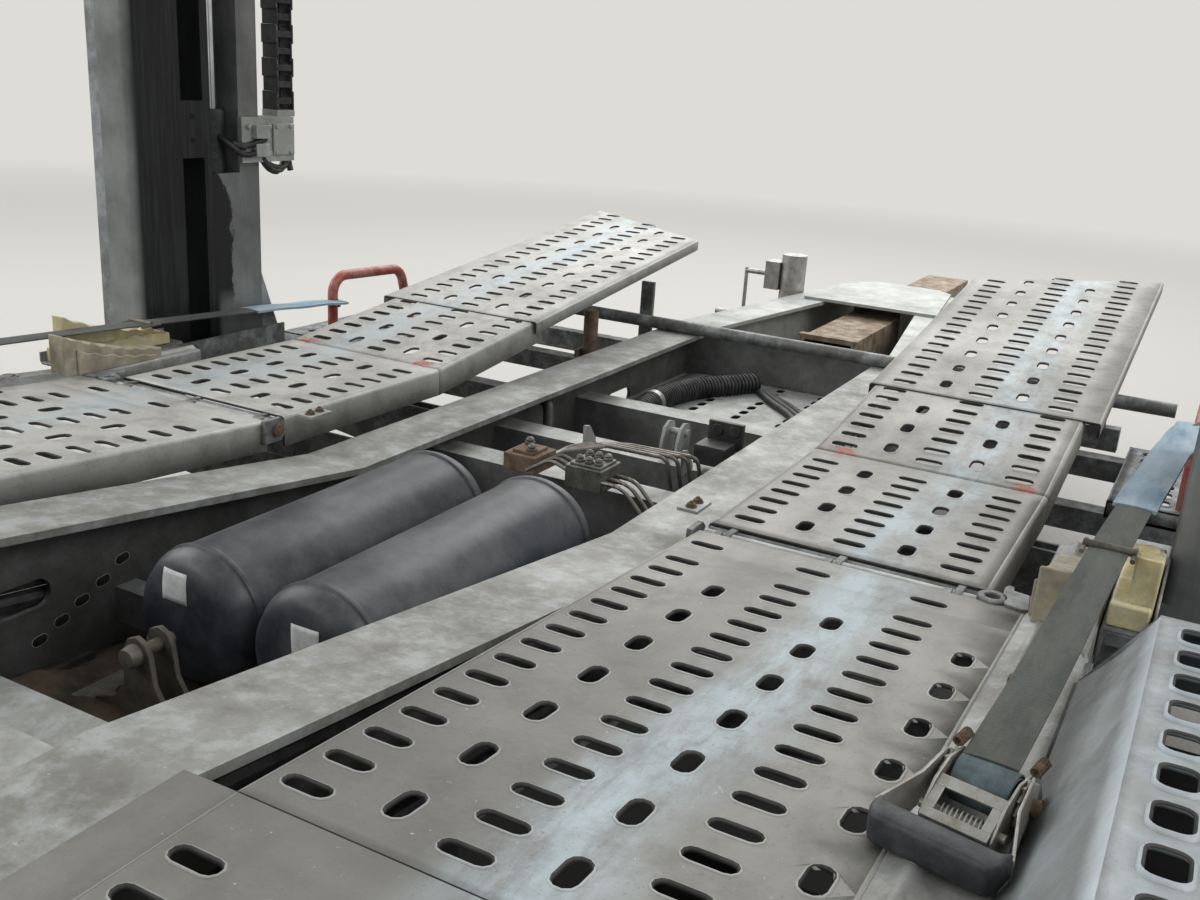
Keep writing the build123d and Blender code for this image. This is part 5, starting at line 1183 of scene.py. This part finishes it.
def greased_guide(name):
    """Post guides: galvanised edges, and on the face that the carriage slides on a band of old black grease with
    fine long runs down it."""
    material, tree, shader, place = blank(name)
    axes = add(tree, "ShaderNodeSeparateXYZ", links={"Vector": place})
    inner = add(tree, "ShaderNodeMath", {"operation": "ABSOLUTE"}, {0: axes.outputs["Y"]}).outputs[0]
    limits = {1: POST_FACE + 0.0015, 2: POST_FACE + 0.0030, 3: 1.0, 4: 0.0}
    face = add(tree, "ShaderNodeMapRange", links={0: inner, **limits}).outputs[0]
    groove = add(tree, "ShaderNodeMapRange", links={0: inner, 1: 1.11, 2: 1.20, 3: 0.95, 4: 0.8}).outputs[0]
    greased = add(tree, "ShaderNodeMath", {"operation": "MAXIMUM"}, {0: face, 1: groove}).outputs[0]
    rows = []
    for x in POSTS:
        start = add(tree, "ShaderNodeMapRange", links={0: axes.outputs["X"], 1: x - 0.192, 2: x - 0.176}).outputs[0]
        stop = add(tree, "ShaderNodeMapRange",
                   links={0: axes.outputs["X"], 1: x + 0.044, 2: x + 0.060, 3: 1.0, 4: 0.15}).outputs[0]
        rows.append((start, stop, greased, "#0f1113"))
        rows.append((start, stop, greased, cloud(tree, place, 0.008, 0.46, 0.72, 0.0, 0.75, 6.0, 0.7, (1, 1, 0.04)),
                     "#363a3d"))
    torn = add(tree, "ShaderNodeMath", {"operation": "ADD"},
               {0: axes.outputs["X"], 1: cloud(tree, place, 0.025, 0.3, 0.7, -0.016, 0.016, 8.0, 0.8, (1, 1, 0.6))})
    sag = add(tree, "ShaderNodeMapRange", links={0: axes.outputs["Z"], 1: 1.16, 2: 1.25, 3: 0.0, 4: 0.05}).outputs[0]
    torn = add(tree, "ShaderNodeMath", {"operation": "ADD"}, {0: torn.outputs[0], 1: sag}).outputs[0]
    torn = add(tree, "ShaderNodeMapRange", links={0: torn, 1: 1.456, 2: 1.459, 3: 1.0, 4: 0.0}).outputs[0]
    behind = add(tree, "ShaderNodeMapRange", links={0: axes.outputs["X"], 1: 1.396, 2: 1.400}).outputs[0]
    above = add(tree, "ShaderNodeMapRange", links={0: axes.outputs["Z"], 1: 0.90, 2: 0.95}).outputs[0]
    colour = layered(tree, "#777977", (cloud(tree, place, 0.15, 0.35, 0.65), "#9fa19f"), *rows,
                     (torn, behind, above, "#121416"),
                     (cloud(tree, place, 0.010, 0.66, 0.70, 0.0, 0.35, 5.0, 0.75), "#8b8d8c"))
    surface(tree, shader, place, colour, 0.25, cloud(tree, place, 0.03, 0.3, 0.7, 0.34, 0.62, stretch=(1, 1, 0.08)),
            0.03, 0.0012, (1, 1, 0.08))
    return material


# Finishes of two tones: name, light tone, dark tone, size of the patches, metallic, roughness, size and depth of the
# grain, then the dust, its share and the clear coat where there are any
TWO_TONE = {
    "tank": ("Dusty tank enamel", "#2f343b", "#1e2128", 0.25, 0.0, 0.42, 0.004, 0.0002, "#7c7d7e", 0.35),
    "rubber": ("Tyre rubber", "#2a2a2a", "#1c1c1c", 0.12, 0.0, 0.78, 0.004, 0.0004, "#6b665d", 0.4),
    "black_plastic": ("Moulded black polypropylene", "#232527", "#151618", 0.08, 0.0, 0.5, 0.003, 0.0002, "#6d6c69",
                      0.3),
    "liner": ("Black wing plastic in shade", "#121314", "#0a0b0b", 0.08, 0.0, 0.8, 0.006, 0.0003, "#2e2c29", 0.4),
    # slot walls: dark from soil, and darker still as painted shade inside the slots
    "slot_wall_dirt_and_shade": ("Soiled cut edge of the sheet, darkened as painted shade", "#4a4946", "#2a2927", 0.05, 0.2, 0.7, 0.005, 0.0003),
    # near-black: the posts' plug screws, and painted shade in the sills' and webs' holes and under the floor plate
    "hole": ("Black rubber plug and painted hole shade", "#0d0e0e", "#070707", 0.02, 0.0, 0.85, 0.004, 0.0002),
    "dirt": ("Dried road dirt on rubber", "#574534", "#1b1a18", 0.16, 0.0, 0.9, 0.006, 0.0015, "#77624a", 0.35),
    "rim": ("Painted steel wheel", "#a9abad", "#8b8d90", 0.1, 0.2, 0.45, 0.01, 0.0003, "#5c574e", 0.5),
    "machined": ("Machined cast iron", "#8d8b88", "#6b6966", 0.05, 0.8, 0.4, 0.004, 0.0002, "#7a5a40", 0.3),
    "chassis_paint": ("Black chassis paint", "#2c2d2f", "#1d1e20", 0.15, 0.0, 0.5, 0.006, 0.0004, "#6a665f", 0.4),
    "red": ("Faded red paint", "#b8503f", "#8f3a30", 0.06, 0.0, 0.45, 0.004, 0.0004, "#b9a79c", 0.45),
    "yellow": ("Sun-faded yellow polyurethane", "#e6dcb4", "#cfbd84", 0.06, 0.0, 0.6, 0.004, 0.0006, "#aba48d", 0.6),
    "pale_yellow": ("Bleached polyurethane", "#bdb39a", "#968d78", 0.06, 0.0, 0.62, 0.004, 0.0006, "#7a756a", 0.55),
    "chrome": ("Hard chrome rod", "#d4d6d8", "#c2c4c6", 0.08, 1.0, 0.14, 0.003, 0.00003),
    "zinc": ("Zinc-plated ratchet steel", "#c3c4bf", "#97978f", 0.03, 0.6, 0.42, 0.003, 0.0002, "#8a6a50", 0.3),
    "barrel": ("Peeling black cylinder paint", "#313436", "#1d1f21", 0.05, 0.1, 0.4, 0.004, 0.0005, "#7b7d7d", 0.2),
    "tube": ("Drawbar tube with rust under dust", "#8d7860", "#6a5846", 0.10, 0.2, 0.75, 0.004, 0.0008, "#b0a693",
             0.85),
    "rust": ("Rusted plate", "#846a50", "#57493c", 0.08, 0.2, 0.75, 0.004, 0.0008, "#9b8d7c", 0.6),
    "stained": ("Dull steel with a brown film", "#6c6960", "#4a4740", 0.05, 0.35, 0.6, 0.004, 0.0003, "#837a6b", 0.5),
    "brass": ("Cast valve metal", "#8b8a84", "#64635e", 0.03, 0.6, 0.5, 0.003, 0.0003, "#4a463e", 0.5),
    "bellows": ("Air spring rubber", "#202122", "#151617", 0.1, 0.0, 0.7, 0.004, 0.0004, "#5c5851", 0.35),
    "lamp_red": ("Red lamp lens", "#a01818", "#7d1010", 0.05, 0.0, 0.18, 0.006, 0.0006, None, 0.0, 0.6),
    "lamp_amber": ("Amber lamp lens", "#c8741a", "#a85a10", 0.05, 0.0, 0.18, 0.006, 0.0006, None, 0.0, 0.6),
    "bolt": ("Zinc-plated bolt steel", "#a3a4a1", "#7f7f7c", 0.02, 0.7, 0.42, 0.003, 0.0002, "#6f5b48", 0.4),
    "rusty_bolt": ("Rusted bolt steel", "#6f5543", "#46372b", 0.015, 0.2, 0.75, 0.003, 0.0005, "#8d7c68", 0.5),
    "grip": ("Rubber ratchet grip", "#34373a", "#25282b", 0.04, 0.0, 0.5, 0.003, 0.0003, "#5f6163", 0.35),
    "pipe": ("Bent steel pipe", "#94918b", "#6c6963", 0.04, 0.7, 0.4, 0.004, 0.0001, "#5d4a3a", 0.4),
    "label": ("Blank paper label", "#d8d9d6", "#c4c4c0", 0.01, 0.0, 0.6, 0.002, 0.0001),
}
FINISH = {}


def make_finishes():
    """Every material of the scene under its short name."""
    FINISH.update({
        "frame": galvanised_steel("Weathered galvanised steel", "#b3b4ae", "#93948e", "#68655d"),
        # the rails' inner webs are darkened as painted shade as well as by dirt
        "rails": galvanised_steel("Galvanised rail with a dirty, shaded web", "#979790", "#7a7972", "#5a5348", 0.62,
                                  upright_dirt_and_shade=0.8, web=RAIL_WEB, reach=0.030),
        # the crossmembers' upright faces are darkened, partly as painted shade
        "cross": galvanised_steel("Galvanised crossmember", "#a2a39d", "#82837d", "#5c5952", 0.55, upright_dirt_and_shade=0.6),
        # a darker copy of the galvanised steel: road stain, and painted shade for the parts under the tracks
        "frame_dark": galvanised_steel("Road-stained galvanised steel darkened as painted shade", "#6f706c", "#50514e", "#33322f", 0.6),
        "post": galvanised_steel("Galvanised post steel", "#96989a", "#7a7c7c", "#504e4a", 0.4),
        "sill": galvanised_steel("Dusty galvanised sill", "#92918b", "#74726d", "#504c45", 0.6),
        # the guard's slanted face is darkened as painted shade, so its top shows lighter
        "guard": galvanised_steel("Rolled galvanised guard", "#adb1b0", "#919593", "#696560", 0.45, worn="#c4d0d9",
                                  upright_dirt_and_shade=0.5),
        "deck": deck_sheet("Worn galvanised track sheet", "#a9a7a0", "#8a8882", "#625e57", "#b0bcc1"),
        "guide": greased_guide("Greased slide steel"),
        "sleeve": woven_webbing("Sun-bleached sleeve", "#9bb2c0", "#768f9f", "#bcc5c9", "#5b7586"),
        "webbing": woven_webbing("Polyester webbing", "#5d7478", "#3f4f54", "#85898a", "#2c383c"),
        "webbing_dark": woven_webbing("Soiled polyester webbing", "#50544f", "#3c403d", "#6a6961", "#2b2e2d"),
    })
    FINISH.update({key: simple_finish(*row) for key, row in TWO_TONE.items()})


# Which finish the carried-over nodes get
NODE_FINISH = {
    "rails": "main_rails",
    "cross": "crossmembers",
    # side members and outriggers, under the tracks, take the darker copy as painted shade
    "frame_dark": "side_members outriggers",
    "frame": "ramp_pins hose_brackets front_carriages rear_carriages upper_crossbeams deck_ears drawbar_sides "
             "drawbar_head rear_beam underrun_bar sill_plates wheel_guards steps ramp_runners lower_tracks "
             "front_ramp_left front_ramp_right upper_tracks loading_ramp_left loading_ramp_right",
    "post": "posts",
    "guide": "post_guides",
    "barrel": "lift_barrels",
    "chrome": "front_lift_rods rear_lift_rods",
    "chassis_paint": "axles trailing_arms arm_hangers dampers brake_chambers",
    "bellows": "air_springs",
    "rubber": "tyres_front_left tyres_front_right tyres_rear_left tyres_rear_right mud_flaps",
    "rim": "wheel_front_left wheel_front_right wheel_rear_left wheel_rear_right",
    "tube": "drawbar_tube",
    "machined": "coupling_eye",
    "zinc": "jack_tube jack_leg ratchets",
    "tank": "air_tanks",
    "black_plastic": "cable_chain conduit",
    "brass": "valve_block",
    "red": "hoops",
    "pale_yellow": "chocks",
    "webbing": "straps",
    "lamp_red": "rear_lamps",
}


# Floor, light and camera -----------------------------------------------------

BACKDROP = "#dedcd6"


def stage_floor():
    """A pale floor with painted shade under and close to the trailer, made from ambient occlusion, and fading into
    the backdrop far from it.
    """
    mesh = bpy.data.meshes.new("floor")
    mesh.from_pydata([(-60, -60, 0), (60, -60, 0), (60, 60, 0), (-60, 60, 0)], [], [(0, 1, 2, 3)])
    ground = bpy.data.objects.new("floor", mesh)
    bpy.context.scene.collection.objects.link(ground)
    material, tree, shader, place = blank("Pale floor")
    shader.inputs["Roughness"].default_value = 0.9
    # painted shade: the floor's colour darkens with ambient occlusion under and near the trailer
    near = add(tree, "ShaderNodeAmbientOcclusion", sets={"samples": 16}, links={"Distance": 2.6}).outputs["AO"]
    lit = add(tree, "ShaderNodeMapRange", links={0: near, 1: 0.55, 2: 0.97}).outputs[0]
    seen = add(tree, "ShaderNodeLightPath").outputs["Is Camera Ray"]
    bounced = layered(tree, "#161514", (lit, "#7f7c77"))
    direct = layered(tree, "#1c1b1a", (lit, "#b4b1ab"))
    shown = add(tree, "ShaderNodeMix", {"data_type": "RGBA"}, {0: seen, 6: bounced, 7: direct}).outputs[2]
    tree.links.new(shown, shader.inputs["Base Color"])
    far = add(tree, "ShaderNodeVectorMath", {"operation": "LENGTH"}, {0: place}).outputs["Value"]
    away = add(tree, "ShaderNodeMapRange", links={0: far, 1: 6.5, 2: 15.0}).outputs[0]
    fade = add(tree, "ShaderNodeMath", {"operation": "MULTIPLY"}, {0: away, 1: seen}).outputs[0]
    glow = add(tree, "ShaderNodeEmission", links={"Color": linear(BACKDROP), "Strength": 1.0}).outputs[0]
    shown = add(tree, "ShaderNodeMixShader", links={0: fade, 1: shader.outputs[0], 2: glow}).outputs[0]
    out = next(n for n in tree.nodes if n.type == "OUTPUT_MATERIAL")
    tree.links.new(shown, out.inputs["Surface"])
    mesh.materials.append(material)


def stage_world():
    """Soft light from all round; the camera, reflections and glass see a plain backdrop instead."""
    world = bpy.data.worlds.new("Studio")
    bpy.context.scene.world = world
    world.use_nodes = True
    tree = world.node_tree
    tree.nodes.clear()
    path = add(tree, "ShaderNodeLightPath")
    seen = path.outputs["Is Camera Ray"]
    for ray in ("Is Glossy Ray", "Is Transmission Ray"):
        seen = add(tree, "ShaderNodeMath", {"operation": "MAXIMUM"}, {0: seen, 1: path.outputs[ray]}).outputs[0]
    soft = add(tree, "ShaderNodeBackground", links={"Color": linear("#e9eef4"), "Strength": 0.75})
    plain = add(tree, "ShaderNodeBackground", links={"Color": linear(BACKDROP), "Strength": 1.0})
    blend = add(tree, "ShaderNodeMixShader", links={0: seen, 1: soft.outputs[0], 2: plain.outputs[0]})
    add(tree, "ShaderNodeOutputWorld", links={"Surface": blend.outputs[0]})


def stage_lights():
    """Four large area lights, the front one the strongest."""
    for name, place, aim, size, power in (
            ("Front", (9.0, 2.0, 7.0), (1.0, 0, 0.8), 7.0, 600.0),
            ("Left", (1.0, 8.0, 6.0), (0.6, 0, 0.8), 6.0, 330.0),
            ("Right", (2.0, -7.0, 7.0), (0.5, 0, 0.8), 6.0, 330.0),
            ("Rear", (-6.0, 5.0, 7.0), (0, 0, 0.8), 6.0, 330.0)):
        lamp = bpy.data.lights.new(name, "AREA")
        lamp.size = size
        lamp.energy = power
        holder = bpy.data.objects.new(name, lamp)
        holder.location = place
        holder.rotation_euler = (Vector(aim) - Vector(place)).to_track_quat("-Z", "Y").to_euler()
        bpy.context.scene.collection.objects.link(holder)


def stage_camera():
    """The camera as it was fitted to the photograph's straight edges."""
    photo_width, focal_pixels, sensor = 1200, 1199.7, 36.0
    right = Vector((0.47860428, -0.87580445, 0.06248602))
    down = Vector((-0.24185516, -0.19991118, -0.94949545))
    ahead = Vector((0.844064, 0.43932002, -0.30749617))
    camera = bpy.data.cameras.new("Camera")
    camera.sensor_width = sensor
    camera.lens = focal_pixels / photo_width * sensor
    camera.clip_start = 0.05
    camera.clip_end = 200.0
    matrix = Matrix((right, -down, -ahead)).transposed().to_4x4()
    matrix.translation = Vector((-0.7428, -1.1097, 1.5448))
    holder = bpy.data.objects.new("Camera", camera)
    holder.matrix_world = matrix
    scene = bpy.context.scene
    scene.collection.objects.link(holder)
    scene.camera = holder
    scene.view_settings.view_transform = "Standard"


# Settings, operators and panel -----------------------------------------------

class TrailerSizes(bpy.types.PropertyGroup):
    """Sizes of the dressed trailer"""
    sheet: bpy.props.FloatProperty(name="Deck sheet", description="Thickness of the slotted sheets", default=0.005,
                                   min=0.002, max=0.01, unit="LENGTH")


class FinishCadNodes(bpy.types.Operator):
    """Give every carried-over node its own finish"""
    bl_idname = "trailer.finish_nodes"
    bl_label = "Finish the frame's nodes"

    def execute(self, context):
        make_finishes()
        for finish, names in NODE_FINISH.items():
            for name in names.split():
                node = frame["nodes"][name]
                node.data.materials.clear()
                node.data.materials.append(FINISH[finish])
        return {"FINISHED"}


class SlottedDecks(bpy.types.Operator):
    """Lower tracks, front ramps and upper tracks with their rows of slots"""
    bl_idname = "trailer.slotted_decks"
    bl_label = "Slotted decks"

    def execute(self, context):
        sheet = context.scene.trailer_sizes.sheet
        put_sheets([("track_sheet", lower_sheets(), "lower_tracks"),
                    ("ramp_sheet", ramp_sheets(), "front_ramp_{side}"),
                    ("upper_sheet", upper_sheets(), "upper_tracks")], "deck", sheet, **SLOTTED)
        return {"FINISHED"}


class Sills(bpy.types.Operator):
    """Pressed sills beside the tracks, with their bolts, the painted shade in their holes and the chock shelves"""
    bl_idname = "trailer.sills"
    bl_label = "Sills and shelves"

    def execute(self, context):
        sheet = context.scene.trailer_sizes.sheet * 0.8
        put_sheets([("sill", sill_shape(), "sill_plates")], "sill", sheet)
        heads, rims, plugs = sill_hardware()
        put("sill_bolts", heads, "rusty_bolt", "sill_plates", bevel=0.001)
        put("sill_plug_rims", rims, "sill", "sill_plates")
        put("sill_hole_shade", plugs, "hole", "sill_plates")
        put("chock_shelves", chock_tray(), "frame_dark", "sill_plates", thickness=0.004)
        return {"FINISHED"}


class Guards(bpy.types.Operator):
    """Raised guards over the wheels with rimmed holes in their tops"""
    bl_idname = "trailer.guards"
    bl_label = "Wheel guards"

    def execute(self, context):
        put_sheets([("guard", guard_sheets(), "wheel_guards")], "guard", 0.0035, **SLOTTED)
        put("guard_heads", guard_bolts(), "bolt", "wheel_guards")
        put("wheel_liners", wheel_liner(), "liner", "wheel_guards", thickness=0.003)
        return {"FINISHED"}


class Steps(bpy.types.Operator):
    """Slotted treads in front of the posts"""
    bl_idname = "trailer.steps"
    bl_label = "Steps"

    def execute(self, context):
        put_sheets([("step", step_sheets(), "steps")], "frame_dark", 0.003, **SLOTTED)
        return {"FINISHED"}


class Hinges(bpy.types.Operator):
    """Rolled edges, plates and end bosses along the ramps' hinge line, and the ramps' legs"""
    bl_idname = "trailer.hinges"
    bl_label = "Ramp hinges"

    def execute(self, context):
        track_side, ramp_side = hinge_line()
        put("hinge_track_side", both(track_side), "frame_dark", "lower_tracks", bevel=0.0012)
        put("hinge_ramp_left", ramp_side, "frame_dark", "front_ramp_left", bevel=0.0012)
        put("hinge_ramp_right", mirrored(ramp_side), "frame_dark", "front_ramp_right", bevel=0.0012)
        head = turned([(-0.009, 0.008), (-0.007, 0.0125), (0.0, 0.0135)], (0.893, 0.434, 0.843), "y", 14)
        put("hinge_bolts", both(head), "rusty_bolt", "lower_tracks")
        put("ramp_legs", ramp_legs(), "rust", "outriggers")
        return {"FINISHED"}


class ChocksAndStraps(bpy.types.Operator):
    """Moulded chocks in their holders, the webbing with its sleeve and buckle, and the ratchets"""
    bl_idname = "trailer.chocks_straps"
    bl_label = "Chocks, straps and ratchets"

    def execute(self, context):
        inner, outer = chocks()
        put("chocks_inner", inner, "pale_yellow", "chocks", bevel=0.003, replaces="chocks")
        put("chocks_outer", outer, "yellow", "chocks", bevel=0.003)
        left, right = straps(1, 0.071, 46), straps(-1, 0.0, 38)
        webbing, sleeve, buckle = (one.join(other) for one, other in zip(left, right))
        put("strap_webbing", webbing, "webbing_dark", "chocks", replaces="straps")
        put("strap_sleeve", sleeve, "sleeve", "chocks")
        put("strap_buckles", buckle, "stained", "chocks")
        plates, grip, spool, rusty = (both(shape) for shape in ratchet_shapes())
        put("ratchet_frames", plates, "zinc", "chocks", bevel=0.0008, replaces="ratchets")
        put("ratchet_grips", grip, "grip", "chocks")
        put("ratchet_spools", spool, "webbing", "chocks", thickness=0.0022)
        put("ratchet_rust", rusty, "rusty_bolt", "chocks")
        return {"FINISHED"}


class AirAndHydraulics(bpy.types.Operator):
    """Air tanks, valve blocks with their pipes, and the hoses and small fittings between the rails"""
    bl_idname = "trailer.air_hydraulics"
    bl_label = "Tanks, valves and hoses"

    def execute(self, context):
        host = "air_tanks"
        tanks, fittings, labels = tank_shapes()
        put("tanks", tanks, "tank", host, replaces="air_tanks")
        put("tank_fittings", fittings, "stained", host, bevel=0.001)
        put("tank_labels", labels, "label", host, thickness=0.0006)
        zinc, rusty, pipes = valve_shapes()
        put("valve_block_zinc", zinc, "brass", host, bevel=0.0015, replaces="valve_block")
        put("valve_block_rusty", rusty, "rust", host, bevel=0.0015)
        put("steel_pipes", pipes, "pipe", host)
        wavy, clamp, plain = hoses()
        put("wavy_hose", wavy, "black_plastic", host, replaces="conduit")
        put("hose_clamp", clamp, "bolt", host)
        put("black_hoses", plain, "black_plastic", host)
        plate, under = floor_plate()
        put("floor_plate", plate, "cross", host, thickness=0.003, **SLOTTED)
        # a black sheet just under the plate: painted shade seen through its slots
        put("floor_plate_painted_shade", under, "hole", host)
        put("dirt_plate", dirt_plate(), "dirt", host, thickness=0.008)
        steel, black, bolts, plugs = frame_fittings()
        put("frame_brackets", steel, "frame", host, bevel=0.0012)
        put("black_bracket", black, "chassis_paint", host, bevel=0.0015)
        put("frame_bolts", bolts, "rusty_bolt", host)
        put("web_hole_shade", plugs, "hole", host, thickness=0.0006)
        return {"FINISHED"}


class PostFittings(bpy.types.Operator):
    """Energy chain, hoses, clamp blocks and small steel on the posts"""
    bl_idname = "trailer.post_fittings"
    bl_label = "Post fittings"

    def execute(self, context):
        put("chain_links", chain_links(), "black_plastic", "posts", bevel=0.0015, replaces="cable_chain")
        put("post_hoses", post_hoses(), "black_plastic", "posts")
        steel, plugs, clips = post_steel()
        put("post_clamps", steel, "frame", "posts", bevel=0.0015)
        put("post_plugs", plugs, "hole", "posts")
        put("post_clips", clips, "rusty_bolt", "posts")
        return {"FINISHED"}


class TyresAndWheels(bpy.types.Operator):
    """Road tyres with their tread, and the nuts and caps of the wheels"""
    bl_idname = "trailer.tyres_wheels"
    bl_label = "Tyres and wheels"

    def execute(self, context):
        for row, x in AXLES.items():
            outer, inner = (tyre_shape(x, y) for y in TWIN_TYRES)
            twins = outer.join(inner)
            for word, s in SIDES:
                node = f"tyres_{row}_{word}"
                put(f"road_{node}", twins if s > 0 else mirrored(twins), "rubber", node, replaces=node, angle=30)
                put(f"nuts_{row}_{word}", wheel_fittings(x, s), "machined", node)
        return {"FINISHED"}


class RearLamps(bpy.types.Operator):
    """Lenses on the lamp boxes"""
    bl_idname = "trailer.rear_lamps"
    bl_label = "Rear lamps"

    def execute(self, context):
        low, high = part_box("rear_lamps")
        x, z, tall = low[0] + 0.004, (low[2] + high[2]) / 2, (high[2] - low[2]) * 0.80
        for name, finish, places in (("red", "lamp_red", ((0.96, 0.120), (1.085, 0.100))),
                                     ("amber", "lamp_amber", ((0.83, 0.110),)),
                                     ("clear", "label", ((0.745, 0.050),))):
            lenses = Shape()
            for y, wide in places:
                lenses.join(lens(x, y, z, wide, tall, 0.003))
            put(f"lens_{name}", both(lenses), finish, "rear_lamps")
        return {"FINISHED"}


class Stage(bpy.types.Operator):
    """Floor, soft light and the camera at the photograph's angle"""
    bl_idname = "trailer.stage"
    bl_label = "Floor, light and camera"

    def execute(self, context):
        stage_floor()
        stage_world()
        stage_lights()
        stage_camera()
        return {"FINISHED"}


class TrailerPanel(bpy.types.Panel):
    """Lists the trailer's settings and its pieces in the order they are made"""
    bl_idname = "VIEW3D_PT_trailer"
    bl_label = "Car transporter trailer"
    bl_space_type = "VIEW_3D"
    bl_region_type = "UI"
    bl_category = "Trailer"

    def draw(self, context):
        self.layout.prop(context.scene.trailer_sizes, "sheet")
        for operator in OPERATORS:
            self.layout.operator(operator.bl_idname)


OPERATORS = [FinishCadNodes, SlottedDecks, Sills, Guards, Steps, Hinges, ChocksAndStraps, AirAndHydraulics,
             PostFittings, TyresAndWheels, RearLamps, Stage]
CLASSES = [TrailerSizes, *OPERATORS, TrailerPanel]


def register():
    """Registers the classes, and the settings on the scene."""
    for kind in CLASSES:
        bpy.utils.register_class(kind)
    bpy.types.Scene.trailer_sizes = bpy.props.PointerProperty(type=TrailerSizes)


def unregister():
    """Takes back what register did, in the opposite order."""
    del bpy.types.Scene.trailer_sizes
    for kind in reversed(CLASSES):
        bpy.utils.unregister_class(kind)


def main():
    """Dresses the trailer."""
    register()
    for operator in OPERATORS:
        group, name = operator.bl_idname.split(".")
        getattr(getattr(bpy.ops, group), name)()


if __name__ == "__main__":
    main()
